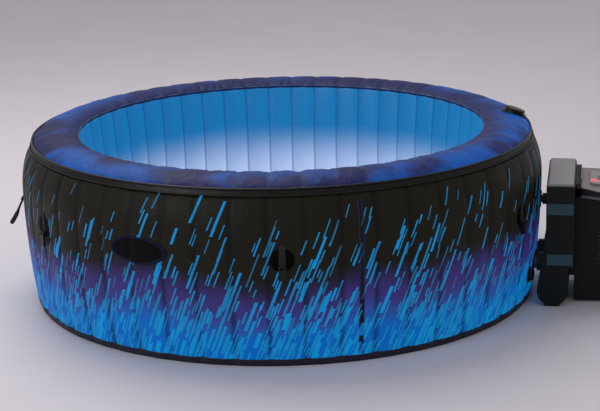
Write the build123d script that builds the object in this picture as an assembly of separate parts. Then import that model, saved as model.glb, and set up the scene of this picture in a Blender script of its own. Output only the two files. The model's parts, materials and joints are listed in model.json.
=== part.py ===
from build123d import *
from math import cos, radians, sin, sqrt
import os

# Inflatable round hot tub with its control base. Sizes are millimetres, +Z is up, the ground is z = 0
# and the Z axis is the tub's centre line. The control base stands on the +X side, and bearings are
# degrees from +X, counter-clockwise seen from above.

# ---- inflated tub ----
OUTER_RADIUS = 1080.0  # widest ring of the outer wall
RIM_HEIGHT = 712.0  # top of the rim
BELLY_DROP = 212.0  # top of the rim down to the widest ring
BASE_INSET = 40.0  # foot of the wall, inside the widest ring
SEAM_INSET = 40.0  # lower edge of the seam band, inside the widest ring
PIPING_INSET = 50.0  # piping at the rim's outer edge, inside the widest ring
CREST_INSET = 153.0  # crest of the rim, inside the widest ring
CREST_CURVE = 167.0  # radius of the rounded rim
RIM_WIDTH = 184.0  # piping to the rim's inner edge
SEAM_BAND = 22.5  # height of the band under the piping
LINER_BULGE = 22.0  # how far the inner wall swells into the basin
SKIN = 2.0
GROUND_SHEET = 3.0
FLOOR_LINER = 3.0
WEB_COUNT = 50  # inner webs that hold the two walls together
WEB_THICKNESS = 1.2
WEB_CLEARANCE = 0.5  # web to skin
UPPER_PIPING = 4.0  # cord radius
LOWER_PIPING = 2.5
HEM_HEIGHT = 25.0
HEM_THICKNESS = 1.5
BUBBLE_RING = 18.0  # radius of the air channel's section
BUBBLE_RING_WALL = 2.0

# ---- clearances ----
CUT = 1.0  # how far a cutter runs past what it cuts
SEAT = 0.2  # under what is welded on a skin
FIT = 0.05  # radial, shaft in its bore
GAP = 0.3  # between faces that pass each other

# ---- wall trim ----
STRIP_BEARING = -64.4
STRIP_WIDTH = 20.0
STRIP_BOTTOM = 34.0
STRIP_TOP = 627.0
PATCH_THICKNESS = 1.5
BADGE_BEARING = -109.7
BADGE_DROP = 282.0  # below the top of the rim
BADGE_LENGTH = 250.0
BADGE_WIDTH = 105.0

# ---- cover latches ----
LATCH_COUNT = 6
FIRST_LATCH_BEARING = -140.0
LATCH_DROP = 292.0
LATCH_DISC_RADIUS = 45.0
STRAP_WIDTH = 25.0
STRAP_THICKNESS = 2.0
STRAP_RISE = 58.0  # strap above the disc's centre
LATCH_PIN_BELOW = 24.0  # pin under the disc's centre
LATCH_PIN_OUT = 9.5  # pin centre from the wall
LATCH_PIN_RADIUS = 2.0
LATCH_LOOP_WIDTH = 18.0
LATCH_LOOP_HALF = 5.0
BUCKLE_WIDTH = 30.0
BUCKLE_DEPTH = 9.0
BUCKLE_DROP = 52.0  # pin to the buckle's lower edge
BUCKLE_SHOULDER = 8.5  # pin to the top of the buckle's box
BUCKLE_SLOT = 3.6

# ---- carry handles ----
HANDLE_BEARINGS = {"left": -170.0, "rear": 70.0}
HANDLE_DROP = 302.0  # pin below the top of the rim
HANDLE_LEAN = 27.0  # degrees off the wall at rest
HANDLE_LENGTH = 118.0
HANDLE_GRIP_RADIUS = 10.0
HANDLE_WIDTH = 142.0
HANDLE_STRAP = 12.0
HANDLE_STRAP_THICKNESS = 5.0
HANDLE_PIN_OUT = 12.0
HANDLE_PIN_RADIUS = 4.0
HANDLE_LOOP_SPAN = 90.0
HANDLE_LOOP_WIDTH = 24.0
HANDLE_LOOP_HALF = 7.5
HANDLE_PATCH_HEIGHT = 70.0

# ---- inflation valve on the rim ----
VALVE_BEARING = 13.0
VALVE_INSET = 100.0  # inside the widest ring
VALVE_FLANGE_RADIUS = 52.0
VALVE_FLANGE = 3.0  # above the rim's skin at its centre
VALVE_NECK_RADIUS = 30.0
VALVE_NECK = 12.0
VALVE_HOLE_RADIUS = 22.0
VALVE_CAP_RADIUS = 42.0
VALVE_CAP_TOP = 4.0
VALVE_CAP_NOTCHES = 12

# ---- drain valve on the outer wall ----
DRAIN_BEARING = -11.0
DRAIN_HEIGHT = 125.0
DRAIN_FLANGE_RADIUS = 33.0
DRAIN_FLANGE = 6.0
DRAIN_NECK_RADIUS = 18.0
DRAIN_NECK = 10.0
DRAIN_HOLE_RADIUS = 13.0
DRAIN_CAP_RADIUS = 25.0
DRAIN_CAP_TOP = 4.0
DRAIN_CAP_NOTCHES = 10
CAP_NOTCH_RADIUS = 3.0
CAP_NOTCH_FOOT = 2.0  # whole edge left under a notch

# ---- water and air lines between the tub and the control base ----
WATER_HEIGHT = 150.0
WATER_SPREAD = 95.0  # each water line from the centre plane
WATER_RADIUS = 22.0
WATER_BORE = 19.0
WATER_COLLAR = 30.0
WATER_FLANGE = 48.0
WATER_UNION_REACH = 23.0  # union plane to the control base's face
WATER_NUT_RADIUS = 36.0
WATER_NUT_LENGTH = 35.0
AIR_HEIGHT = 390.0
AIR_RADIUS = 11.0
AIR_BORE = 9.0
AIR_COLLAR = 15.0
AIR_FLANGE = 34.0
AIR_UNION_REACH = 12.0
AIR_NUT_RADIUS = 20.0
AIR_NUT_LENGTH = 19.0
NUT_END_GAP = 4.0  # nut to the control base's face
AIR_NUT_END_GAP = 3.0
SEAL_INSET = 1.0  # seal inside its collar's edge
NUT_RIB_RADIUS = 3.0
NUT_RIBS = 10
FLANGE_THICKNESS = 3.0
SEAL = 2.0
INNER_FLANGE_RADIUS = 66.0
INNER_FLANGE_REACH = 28.0  # flat face from the rim's inner edge ring

# ---- filter in the basin ----
FILTER_RADIUS = 60.0
FILTER_WALL = 3.0
FILTER_LENGTH = 84.0
FILTER_SLOTS = 12
FILTER_SLOT_WIDTH = 8.0
CARTRIDGE_RADIUS = 50.0
CARTRIDGE_CORE = 20.0
CARTRIDGE_END_GAP = 1.6  # both ends together
CARTRIDGE_PLEATS = 36
CARTRIDGE_PLEAT_DEPTH = 5.0
FILTER_CAP_WALL = 3.0
CAP_BAR_HALF = 40.0
CAP_BAR_HEIGHT = 10.0
CAP_BAR_RISE = 8.0
FILTER_CAP_SKIRT = 14.0

# ---- control base: tower beside the tub ----
CONTROL_GAP = 27.0  # widest ring to the tower's face
TOWER_DEPTH = 113.0
TOWER_HALF_WIDTH = 228.0
TOWER_HEIGHT = 498.0
TOWER_FLOOR = 30.0
TOWER_SLIT_DEPTH = 22.0
TOWER_SLIT_HEIGHT = 110.0
CHEEK_SLIT_HEIGHT = 160.0
CHEEK_INNER = 150.0  # half the space between the two feet
LEAN_HEIGHT = 270.0
FOOT_LEAN = 34.0
FOOT_RADIUS = 62.0
FOOT_PAD = 8.0
FOOT_PAD_SINK = 6.0
CASE_WALL = 3.0
TRIM_RISE = 12.0
TRIM_WIDTH = 105.0
BAND_HEIGHTS = (173.0, 383.0)
BAND_HEIGHT = 46.0
BAND_THICKNESS = 2.0
BAND_MARGIN = 5.0

# ---- control base: main box, hood and panel ----
MAIN_LENGTH = 340.0
MAIN_HALF_WIDTH = 155.0
MAIN_TOP = 440.0
MAIN_CORNER = 38.0
PLATE_BOTTOM = 8.0
PLATE_THICKNESS = 4.0
FOOT_BUTTON_RADIUS = 18.0
HOOD_HALF_NEAR = 170.0
HOOD_HALF_FAR = 200.0
HOOD_SETBACK = 22.0
HOOD_FLARE = 75.0
HOOD_HEIGHT = 42.0
HOOD_SLOPE = 7.0
HOOD_CORNER = 30.0
HOOD_FLOOR_OPENING = 100.0
PANEL_LENGTH = 130.0
PANEL_WIDTH = 210.0
PANEL_THICKNESS = 9.0
PANEL_CENTRE = 100.0  # from the hood's near edge
PANEL_CORNER = 18.0
DISPLAY_LENGTH = 40.0
DISPLAY_WIDTH = 70.0
DISPLAY_DEPTH = 2.0
BUTTON_LENGTH = 18.0
BUTTON_WIDTH = 26.0
BUTTON_RISE = 1.2
BUTTON_FLOOR = 2.0  # room under a button for its travel
BUTTON_CORNER = 5.0
DISPLAY_CORNER = 3.0
BUTTON_NAMES = ("heat", "filter", "bubbles", "warmer", "cooler")
LIGHT_RADIUS = 5.0

# ---- control base: what is inside ----
PUMP_START = 42.0  # volute from the main box's near face
PUMP_RADIUS = 45.0
PUMP_VOLUTE = 50.0
MOTOR_RADIUS = 38.0
MOTOR_LENGTH = 108.0
MOTOR_FOOT_INSET = 10.0
ROTOR_AIR_GAP = 3.0
ROTOR_END_GAP = 4.0
IMPELLER_START = 6.0  # disc to the volute's wall
IMPELLER_DISC = 4.0
IMPELLER_BLADES = 6
IMPELLER_BLADE = 3.0
IMPELLER_REACH = 10.0  # blades past the volute's middle
IMPELLER_RADIUS = 36.0
SHAFT_RADIUS = 6.0
ROTOR_RADIUS = 24.0
HEATER_RADIUS = 30.0
HEATER_LENGTH = 220.0
HEATER_FOOT = (30.0, 24.0)  # length and width
HEATER_FOOT_INSET = 20.0
HEATER_OUTLET = 35.0  # outlet from the far end
LINK_RADIUS = 14.0
LINK_BORE = 11.0
LINK_HEIGHT = 240.0
BLOWER_START = 130.0
BLOWER_RADIUS = 65.0
BLOWER_LENGTH = 100.0
BLOWER_BELOW_AIR = 40.0
FAN_RADIUS = 52.0
FAN_BLADES = 12
FAN_DISC = 3.0
FAN_BLADE = 2.4
BLOWER_FOOT_INSET = 30.0
BLOWER_FOOT_OVERLAP = 8.0
BOARD_LENGTH = 90.0
BOARD_WIDTH = 170.0
BOARD_THICKNESS = 2.0
CHIP_COUNT = 3
CHIP_START = 20.0
CHIP_SIZE = (30.0, 24.0, 6.0)
SCREW_RADIUS = 2.0
SCREW_HEAD = 5.0
BOSS_RADIUS = 6.0
GLAND_HEIGHT = 60.0
GLAND_RADIUS = 9.0
GLAND_FLANGE = 6.0
GLAND_FLANGE_MARGIN = 5.0
GLAND_SNOUT = 14.0

# ---- worked out from the sizes above ----
PIPING_RADIUS = OUTER_RADIUS - PIPING_INSET
SEAM_RADIUS = OUTER_RADIUS - SEAM_INSET
BASE_RADIUS = OUTER_RADIUS - BASE_INSET
RIM_INNER_RADIUS = PIPING_RADIUS - RIM_WIDTH
CREST_RADIUS = OUTER_RADIUS - CREST_INSET
BELLY_HEIGHT = RIM_HEIGHT - BELLY_DROP
LATCH_HEIGHT = RIM_HEIGHT - LATCH_DROP
HANDLE_HEIGHT = RIM_HEIGHT - HANDLE_DROP
CONTROL_FACE = OUTER_RADIUS + CONTROL_GAP
TOWER_BACK = CONTROL_FACE + TOWER_DEPTH
MAIN_START = TOWER_BACK + GAP
MAIN_END = MAIN_START + MAIN_LENGTH
PLATE_TOP = PLATE_BOTTOM + PLATE_THICKNESS
HOOD_START = MAIN_START + HOOD_SETBACK
HOOD_END = MAIN_END + GAP
FOOT_CENTRE = CONTROL_FACE - FOOT_LEAN + FOOT_RADIUS
WATER_UNION = CONTROL_FACE - WATER_UNION_REACH
AIR_UNION = CONTROL_FACE - AIR_UNION_REACH
INNER_FACE = RIM_INNER_RADIUS - LINER_BULGE - INNER_FLANGE_REACH
WALL_INSIDE = OUTER_RADIUS / 1.5  # where a prism laid on the wall starts
WALL_OUTSIDE = OUTER_RADIUS * 1.1
DISC_START = OUTER_RADIUS * 0.75
DISC_REACH = OUTER_RADIUS / 2
STANDING = (Align.CENTER, Align.CENTER, Align.MIN)


def rim_underside(radius):
    """Height of the rim skin's lower side at a radius."""
    return RIM_HEIGHT - SKIN - CREST_CURVE + sqrt(CREST_CURVE**2 - (radius - CREST_RADIUS) ** 2)


PIPING_HEIGHT = rim_underside(PIPING_RADIUS)
SEAM_HEIGHT = PIPING_HEIGHT - SEAM_BAND
RIM_INNER_HEIGHT = rim_underside(RIM_INNER_RADIUS)
LOWER_CURVE = (BASE_INSET**2 + (BELLY_HEIGHT - GROUND_SHEET) ** 2) / (2 * BASE_INSET)
UPPER_CURVE = (SEAM_INSET**2 + (SEAM_HEIGHT - BELLY_HEIGHT) ** 2) / (2 * SEAM_INSET)
LINER_HALF = (RIM_INNER_HEIGHT - GROUND_SHEET) / 2
LINER_CURVE = (LINER_BULGE**2 + LINER_HALF**2) / (2 * LINER_BULGE)


def wall_radius(height):
    """Outside of the outer wall at a height."""
    curve = LOWER_CURVE if height < BELLY_HEIGHT else UPPER_CURVE
    return OUTER_RADIUS - curve + sqrt(curve**2 - (height - BELLY_HEIGHT) ** 2)


def liner_radius(height):
    """Basin side of the inner wall at a height."""
    off_middle = height - GROUND_SHEET - LINER_HALF
    return RIM_INNER_RADIUS - LINER_BULGE + LINER_CURVE - sqrt(LINER_CURVE**2 - off_middle**2)


def wall_line(shift):
    """The outer wall's two arcs from the ground sheet to the seam, moved outward by shift."""
    arcs = []
    for low, high in ((GROUND_SHEET, BELLY_HEIGHT), (BELLY_HEIGHT, SEAM_HEIGHT)):
        heights = (low, (low + high) / 2, high)
        arcs.append(ThreePointArc(*[(wall_radius(z) + shift, 0, z) for z in heights]))
    return arcs


def rim_line(shift):
    """The rim's arc from the piping to its inner edge, raised by shift."""
    radii = (PIPING_RADIUS, CREST_RADIUS, RIM_INNER_RADIUS)
    return ThreePointArc(*[(r, 0, rim_underside(r) + shift) for r in radii])


def liner_line(shift):
    """The inner wall's arc from the ground sheet to the rim, moved outward by shift."""
    heights = (GROUND_SHEET, GROUND_SHEET + LINER_HALF, RIM_INNER_HEIGHT)
    return ThreePointArc(*[(liner_radius(z) + shift, 0, z) for z in heights])


def run(*points):
    """Straight lines through points of the radius and height plane."""
    return [Line((a[0], 0, a[1]), (b[0], 0, b[1])) for a, b in zip(points, points[1:])]


def ends(edge):
    """Radius and height of an edge's two ends."""
    first, last = edge @ 0, edge @ 1
    return (first.X, first.Z), (last.X, last.Z)


def turned_section(edges):
    """Solid turned about the centre line from a closed outline."""
    return revolve(Face(Wire(edges)), Axis.Z, 360)


def at_bearing(shape, bearing):
    """A shape drawn on the +X side, carried round to a bearing."""
    return Rot(0, 0, bearing) * shape


def rod(x, y, z, radius, length):
    """Round bar along +X from its near end."""
    return Pos(x, y, z) * Rot(0, 90, 0) * Cylinder(radius, length, align=STANDING)


def post(x, y, z, radius, height):
    """Upright round bar from its foot."""
    return Pos(x, y, z) * Cylinder(radius, height, align=STANDING)


def cross_bar(x, z, radius, length):
    """Round bar along Y, centred on the X axis."""
    return Pos(x, 0, z) * Rot(90, 0, 0) * Cylinder(radius, length)


def block(low, high):
    """Box between two corners."""
    size = [b - a for a, b in zip(low, high)]
    return Pos(*low) * Box(*size, align=(Align.MIN, Align.MIN, Align.MIN))


def plate(points, low, high):
    """Upright prism from a plan outline."""
    outline = Polyline(*points, close=True)
    return Pos(0, 0, low) * extrude(make_face(outline), high - low)


def side_plate(points, low, high):
    """Prism along Y from an outline of x and z."""
    corners = [(x, low, z) for x, z in points]
    return extrude(Face(Wire(Polyline(*corners, close=True).edges())), high - low, dir=(0, 1, 0))


def pipe(points, radius):
    """Round bar along straight runs, with ball corners."""
    bars = []
    for start, end in zip(points, points[1:]):
        direction = Vector(*end) - Vector(*start)
        frame = Plane(origin=start, z_dir=direction)
        bars.append(frame * Cylinder(radius, direction.length, align=STANDING))
    for corner in points[1:-1]:
        bars.append(Pos(*corner) * Sphere(radius))
    return bars[0].fuse(*bars[1:]) if len(bars) > 1 else bars[0]


def tube(points, radius, bore):
    """Hollow pipe along straight runs."""
    return pipe(points, radius) - pipe(points, bore)


def tub_body(shift):
    """The inflated ring as one solid, grown outward by shift."""
    inner = OUTER_RADIUS / 2
    lower, upper = wall_line(shift)
    rim = rim_line(SKIN + shift)
    base = (ends(lower)[0][0], GROUND_SHEET)
    walls = [lower, upper, *run(ends(upper)[1], ends(rim)[0]), rim]
    corner = ends(rim)[1]
    floor = run(corner, (inner, corner[1]), (inner, -GROUND_SHEET), (base[0], -GROUND_SHEET), base)
    return turned_section(walls + floor)


def basin_space():
    """The room inside the inner wall as one solid, just clear of the skin."""
    liner = liner_line(-SEAT)
    low, high = ends(liner)
    return turned_section([liner, *run(high, (0, high[1]), (0, low[1]), low)])


TUB_BODIES = {}


def tub_grown(shift):
    """The same grown solid, made once for each shift."""
    if shift not in TUB_BODIES:
        TUB_BODIES[shift] = tub_body(shift)
    return TUB_BODIES[shift]


def laid_on_wall(prism, inner, outer):
    """The slice of a prism between two distances from the tub's surface."""
    return (prism & tub_grown(outer)) - tub_grown(inner)


# ---- skins of the tub ----
def outer_wall():
    outside = wall_line(0)
    inside = wall_line(-SKIN)
    foot = run(ends(inside[0])[0], ends(outside[0])[0])
    head = run(ends(outside[1])[1], ends(inside[1])[1])
    wall = turned_section([*outside, *head, *inside, *foot])
    for y in (-WATER_SPREAD, WATER_SPREAD):
        wall -= rod(BASE_RADIUS / 2, y, WATER_HEIGHT, WATER_RADIUS + SEAT, OUTER_RADIUS)
    wall -= rod(BASE_RADIUS / 2, 0, AIR_HEIGHT, AIR_RADIUS + SEAT, OUTER_RADIUS)
    drain = rod(BASE_RADIUS / 2, 0, DRAIN_HEIGHT, DRAIN_HOLE_RADIUS, OUTER_RADIUS)
    return wall - at_bearing(drain, DRAIN_BEARING)


def seam_band():
    low = (SEAM_RADIUS, SEAM_HEIGHT)
    high = (PIPING_RADIUS, PIPING_HEIGHT)
    return turned_section(run(low, high, (high[0] - SKIN, high[1]), (low[0] - SKIN, low[1]), low))


def valve_frame():
    """Plane on the rim's skin where the valve stands, facing along the skin's normal."""
    offset = OUTER_RADIUS - VALVE_INSET - CREST_RADIUS
    rise = sqrt(CREST_CURVE**2 - offset**2)
    centre_height = RIM_HEIGHT - SKIN - CREST_CURVE
    reach = (CREST_CURVE + SKIN) / CREST_CURVE
    origin = (CREST_RADIUS + offset * reach, 0, centre_height + rise * reach)
    return Plane(origin=origin, x_dir=(rise, 0, -offset), z_dir=(offset, 0, rise))


def top_rim():
    lower = rim_line(0)
    upper = rim_line(SKIN)
    outer_end = run(ends(lower)[0], ends(upper)[0])
    inner_end = run(ends(upper)[1], ends(lower)[1])
    rim = turned_section([*outer_end, upper, *inner_end, lower])
    hole = valve_frame() * Cylinder(VALVE_HOLE_RADIUS, CREST_CURVE / 4)
    return rim - at_bearing(hole, VALVE_BEARING)


def inner_wall():
    basin_side = liner_line(0)
    chamber_side = liner_line(SKIN)
    foot = run(ends(chamber_side)[0], ends(basin_side)[0])
    head = run(ends(basin_side)[1], ends(chamber_side)[1])
    wall = turned_section([basin_side, *head, chamber_side, *foot])
    for y in (-WATER_SPREAD, WATER_SPREAD):
        wall -= rod(RIM_INNER_RADIUS / 2, y, WATER_HEIGHT, WATER_RADIUS + SEAT, RIM_INNER_RADIUS)
    return wall - rod(RIM_INNER_RADIUS / 2, 0, ring_height(), AIR_RADIUS + SEAT, RIM_INNER_RADIUS)


def ground_sheet():
    return Cylinder(BASE_RADIUS, GROUND_SHEET, align=STANDING)


def floor_liner():
    radius = liner_radius(GROUND_SHEET + FLOOR_LINER) - GAP
    return post(0, 0, GROUND_SHEET, radius, FLOOR_LINER)


def ring_height():
    """Centre height of the air channel round the basin's foot."""
    return GROUND_SHEET + FLOOR_LINER + GAP + BUBBLE_RING


def ring_radius():
    """Centre radius of the air channel, clear of the leaning inner wall."""
    return liner_radius(ring_height() + BUBBLE_RING) - GAP - BUBBLE_RING


def bubble_ring():
    """Hollow channel that lets the air out round the basin's foot."""
    section = Plane(origin=(ring_radius(), 0, ring_height()), x_dir=(1, 0, 0), z_dir=(0, -1, 0))
    return revolve(section * (Circle(BUBBLE_RING) - Circle(BUBBLE_RING - BUBBLE_RING_WALL)), Axis.Z, 360)


def rim_piping():
    upper = Torus(PIPING_RADIUS + UPPER_PIPING + SEAT, UPPER_PIPING)
    lean = sqrt(SEAM_BAND**2 + (SEAM_RADIUS - PIPING_RADIUS) ** 2)
    out = (LOWER_PIPING + SEAT) * SEAM_BAND / lean
    up = (LOWER_PIPING + SEAT) * (SEAM_RADIUS - PIPING_RADIUS) / lean
    lower = Torus(SEAM_RADIUS + out, LOWER_PIPING)
    return Compound([Pos(0, 0, PIPING_HEIGHT + SKIN / 2) * upper, Pos(0, 0, SEAM_HEIGHT + up) * lower])


def base_hem():
    top = GROUND_SHEET + HEM_HEIGHT
    heights = (GROUND_SHEET, GROUND_SHEET + HEM_HEIGHT / 2, top)
    inside = ThreePointArc(*[(wall_radius(z) + SEAT, 0, z) for z in heights])
    outside = inside.moved(Pos(HEM_THICKNESS, 0, 0))
    foot = run(ends(inside)[0], ends(outside)[0])
    head = run(ends(outside)[1], ends(inside)[1])
    return turned_section([outside, *head, inside, *foot])


def wall_webs():
    lower, upper = wall_line(0)
    rim = rim_line(0)
    liner = liner_line(0)
    walls = [lower, upper, *run(ends(upper)[1], ends(rim)[0]), rim, liner]
    chamber = Face(Wire([*walls, *run(ends(liner)[0], ends(lower)[0])]))
    web_face = offset(chamber, -(SKIN + WEB_CLEARANCE), kind=Kind.INTERSECTION)
    web = extrude(web_face, WEB_THICKNESS / 2, both=True, dir=(0, 1, 0))
    pitch = 360 / WEB_COUNT
    return Compound([at_bearing(web, (number + 0.5) * pitch) for number in range(WEB_COUNT)])


# ---- trim on the outer wall ----
def wall_seam_strip():
    low = (WALL_INSIDE, -STRIP_WIDTH / 2, STRIP_BOTTOM)
    prism = block(low, (WALL_OUTSIDE, STRIP_WIDTH / 2, STRIP_TOP))
    return at_bearing(laid_on_wall(prism, SEAT, SEAT + PATCH_THICKNESS), STRIP_BEARING)


def badge_plate():
    outline = extrude(Ellipse(BADGE_LENGTH / 2, BADGE_WIDTH / 2), DISC_REACH)
    centre = (DISC_START, 0, RIM_HEIGHT - BADGE_DROP)
    facing_out = Plane(origin=centre, x_dir=(0, 1, 0), z_dir=(1, 0, 0))
    prism = facing_out * outline
    return at_bearing(laid_on_wall(prism, SEAT, SEAT + PATCH_THICKNESS), BADGE_BEARING)


# ---- cover latches ----
def latch_bearings():
    return [FIRST_LATCH_BEARING + number * 360 / LATCH_COUNT for number in range(LATCH_COUNT)]


def latch_pin():
    """Distance from the centre line and height of a latch's pin."""
    height = LATCH_HEIGHT - LATCH_PIN_BELOW
    return wall_radius(height) + LATCH_PIN_OUT, height


def latch_patches():
    prism = rod(DISC_START, 0, LATCH_HEIGHT, LATCH_DISC_RADIUS, DISC_REACH)
    disc = laid_on_wall(prism, SEAT, SEAT + PATCH_THICKNESS)
    return Compound([at_bearing(disc, bearing) for bearing in latch_bearings()])


def latch_webbing():
    out, height = latch_pin()
    strap_start = SEAT + PATCH_THICKNESS + SEAT
    low = (WALL_INSIDE, -STRAP_WIDTH / 2, height - LATCH_LOOP_HALF)
    high = (WALL_OUTSIDE, STRAP_WIDTH / 2, LATCH_HEIGHT + STRAP_RISE)
    strap = laid_on_wall(block(low, high), strap_start, strap_start + STRAP_THICKNESS)
    reach = LATCH_PIN_OUT - LATCH_LOOP_HALF
    loop = Pos(out, 0, height) * Rot(90, 0, 0) * Cylinder(LATCH_LOOP_HALF, LATCH_LOOP_WIDTH)
    neck_low = (out - reach - LATCH_LOOP_HALF, -LATCH_LOOP_WIDTH / 2, height - LATCH_LOOP_HALF)
    neck = block(neck_low, (out, LATCH_LOOP_WIDTH / 2, height + LATCH_LOOP_HALF))
    tab = strap + ((loop + neck) - tub_grown(strap_start))
    tab -= cross_bar(out, height, LATCH_PIN_RADIUS + FIT, BUCKLE_WIDTH)
    return Compound([at_bearing(tab, bearing) for bearing in latch_bearings()])


def latch_buckle():
    out, height = latch_pin()
    half = BUCKLE_WIDTH / 2
    low_z = height - BUCKLE_DROP
    body_high = (out + BUCKLE_DEPTH / 2, half, height - BUCKLE_SHOULDER)
    body = block((out - BUCKLE_DEPTH / 2, -half, low_z), body_high)
    body = fillet(body.edges().filter_by(Axis.X), BUCKLE_DEPTH / 3)
    mouth = half - BUCKLE_DEPTH / 2
    slot_low = (out - BUCKLE_SLOT / 2, -mouth, low_z)
    body -= block(slot_low, (out + BUCKLE_SLOT / 2, mouth, low_z + BUCKLE_DROP / 2))
    ear_inside = LATCH_LOOP_WIDTH / 2 + GAP
    ear_round = LATCH_LOOP_HALF - GAP
    for side in (-1, 1):
        middle = side * (ear_inside + half) / 2
        thickness = half - ear_inside
        ear = Pos(out, middle, height) * Rot(90, 0, 0) * Cylinder(ear_round, thickness)
        arm_low = (out - ear_round, middle - thickness / 2, height - BUCKLE_SHOULDER - BUCKLE_DEPTH / 2)
        body += ear + block(arm_low, (out + ear_round, middle + thickness / 2, height))
    return body + cross_bar(out, height, LATCH_PIN_RADIUS, 2 * ear_inside + GAP)


# ---- carry handles ----
def handle_pin():
    return wall_radius(HANDLE_HEIGHT) + HANDLE_PIN_OUT, HANDLE_HEIGHT


def handle_anchor():
    """Welded patch with the two loops that carry a handle."""
    out, height = handle_pin()
    half_width = HANDLE_LOOP_SPAN / 2 + HANDLE_LOOP_WIDTH
    low = (WALL_INSIDE, -half_width, height - HANDLE_PATCH_HEIGHT / 2)
    high = (WALL_OUTSIDE, half_width, height + HANDLE_PATCH_HEIGHT / 2)
    anchor = laid_on_wall(block(low, high), SEAT, SEAT + PATCH_THICKNESS)
    for side in (-1, 1):
        middle = side * HANDLE_LOOP_SPAN / 2
        loop = Pos(out, middle, height) * Rot(90, 0, 0) * Cylinder(HANDLE_LOOP_HALF, HANDLE_LOOP_WIDTH)
        foot_low = (out - 2 * HANDLE_PIN_OUT, middle - HANDLE_LOOP_WIDTH / 2, height - HANDLE_LOOP_HALF)
        foot = block(foot_low, (out, middle + HANDLE_LOOP_WIDTH / 2, height + HANDLE_LOOP_HALF))
        anchor += (loop + foot) - tub_grown(SEAT)
    return anchor - cross_bar(out, height, HANDLE_PIN_RADIUS + FIT, HANDLE_WIDTH)


def handle_anchors():
    return Compound([at_bearing(handle_anchor(), bearing) for bearing in HANDLE_BEARINGS.values()])


def carry_handle():
    """Pin, two straps and a grip, drawn hanging and then leaned off the wall."""
    out, height = handle_pin()
    half = HANDLE_WIDTH / 2
    handle = cross_bar(0, 0, HANDLE_PIN_RADIUS, HANDLE_WIDTH)
    handle += cross_bar(0, -HANDLE_LENGTH, HANDLE_GRIP_RADIUS, HANDLE_WIDTH)
    for side in (-1, 1):
        inside, outside = sorted((side * (half - HANDLE_STRAP), side * half))
        strap_low = (-HANDLE_STRAP_THICKNESS / 2, inside, -HANDLE_LENGTH)
        handle += block(strap_low, (HANDLE_STRAP_THICKNESS / 2, outside, 0))
        turned = Rot(90, 0, 0) * Cylinder(HANDLE_PIN_RADIUS * 1.5, HANDLE_STRAP)
        eye = Pos(0, (inside + outside) / 2, 0) * turned
        handle += eye
    return Pos(out, 0, height) * Rot(0, -HANDLE_LEAN, 0) * handle


# ---- valves ----
def cap_on_neck(neck_radius, neck, cap_radius, top, grips):
    """Screw cap over a neck whose foot is at z = 0."""
    cap = post(0, 0, GAP, cap_radius, neck + top - GAP)
    cap = fillet(cap.edges().group_by(Axis.Z)[-1], top / 2)
    for number in range(grips):
        notch = post(cap_radius + CUT, 0, GAP * 2 + CAP_NOTCH_FOOT, CAP_NOTCH_RADIUS, neck + top)
        cap -= Rot(0, 0, number * 360 / grips) * notch
    return cap - post(0, 0, -GAP, neck_radius + FIT, neck + 2 * GAP)


def rim_valve_body():
    depth = CREST_CURVE / 6
    flange = post(0, 0, -depth, VALVE_FLANGE_RADIUS, depth + VALVE_FLANGE)
    neck = post(0, 0, 0, VALVE_NECK_RADIUS, VALVE_FLANGE + VALVE_NECK)
    body = (valve_frame() * (flange + neck)) - tub_grown(SEAT)
    body -= valve_frame() * Cylinder(VALVE_HOLE_RADIUS, CREST_CURVE / 2)
    return at_bearing(body, VALVE_BEARING)


def rim_valve_cap():
    cap = cap_on_neck(VALVE_NECK_RADIUS, VALVE_NECK, VALVE_CAP_RADIUS, VALVE_CAP_TOP, VALVE_CAP_NOTCHES)
    return at_bearing(valve_frame() * Pos(0, 0, VALVE_FLANGE) * cap, VALVE_BEARING)


def drain_frame():
    """Plane on the outer wall at the drain, facing straight out."""
    return Plane(origin=(wall_radius(DRAIN_HEIGHT), 0, DRAIN_HEIGHT), x_dir=(0, 1, 0), z_dir=(1, 0, 0))


def drain_valve_body():
    flange = post(0, 0, -DRAIN_FLANGE * 2, DRAIN_FLANGE_RADIUS, DRAIN_FLANGE * 3)
    neck = post(0, 0, 0, DRAIN_NECK_RADIUS, DRAIN_FLANGE + DRAIN_NECK)
    body = (drain_frame() * (flange + neck)) - tub_grown(SEAT)
    body -= drain_frame() * Cylinder(DRAIN_HOLE_RADIUS, DRAIN_FLANGE * 8)
    return at_bearing(body, DRAIN_BEARING)


def drain_valve_cap():
    cap = cap_on_neck(DRAIN_NECK_RADIUS, DRAIN_NECK, DRAIN_CAP_RADIUS, DRAIN_CAP_TOP, DRAIN_CAP_NOTCHES)
    return at_bearing(drain_frame() * Pos(0, 0, DRAIN_FLANGE) * cap, DRAIN_BEARING)


# ---- lines through the inflated wall ----
def water_pipe(y):
    length = WATER_UNION - INNER_FACE
    collar_start = wall_radius(WATER_HEIGHT) - WATER_SPREAD
    collar = rod(collar_start, y, WATER_HEIGHT, WATER_COLLAR, WATER_UNION - collar_start)
    collar -= tub_grown(SEAT + FLANGE_THICKNESS + SEAT)
    line = rod(INNER_FACE, y, WATER_HEIGHT, WATER_RADIUS, length) + collar
    return line - rod(INNER_FACE, y, WATER_HEIGHT, WATER_BORE, length)


def air_pipe():
    """Air line that drops inside the wall to the channel round the basin's foot."""
    drop = (OUTER_RADIUS + RIM_INNER_RADIUS) / 2
    ring_side = ring_radius() + BUBBLE_RING + GAP
    points = [(AIR_UNION, 0, AIR_HEIGHT), (drop, 0, AIR_HEIGHT)]
    points += [(drop, 0, ring_height()), (ring_side, 0, ring_height())]
    collar = rod(drop, 0, AIR_HEIGHT, AIR_COLLAR, AIR_UNION - drop)
    collar -= tub_grown(SEAT + FLANGE_THICKNESS + SEAT)
    return pipe(points, AIR_RADIUS) + collar - pipe(points, AIR_BORE)


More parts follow.
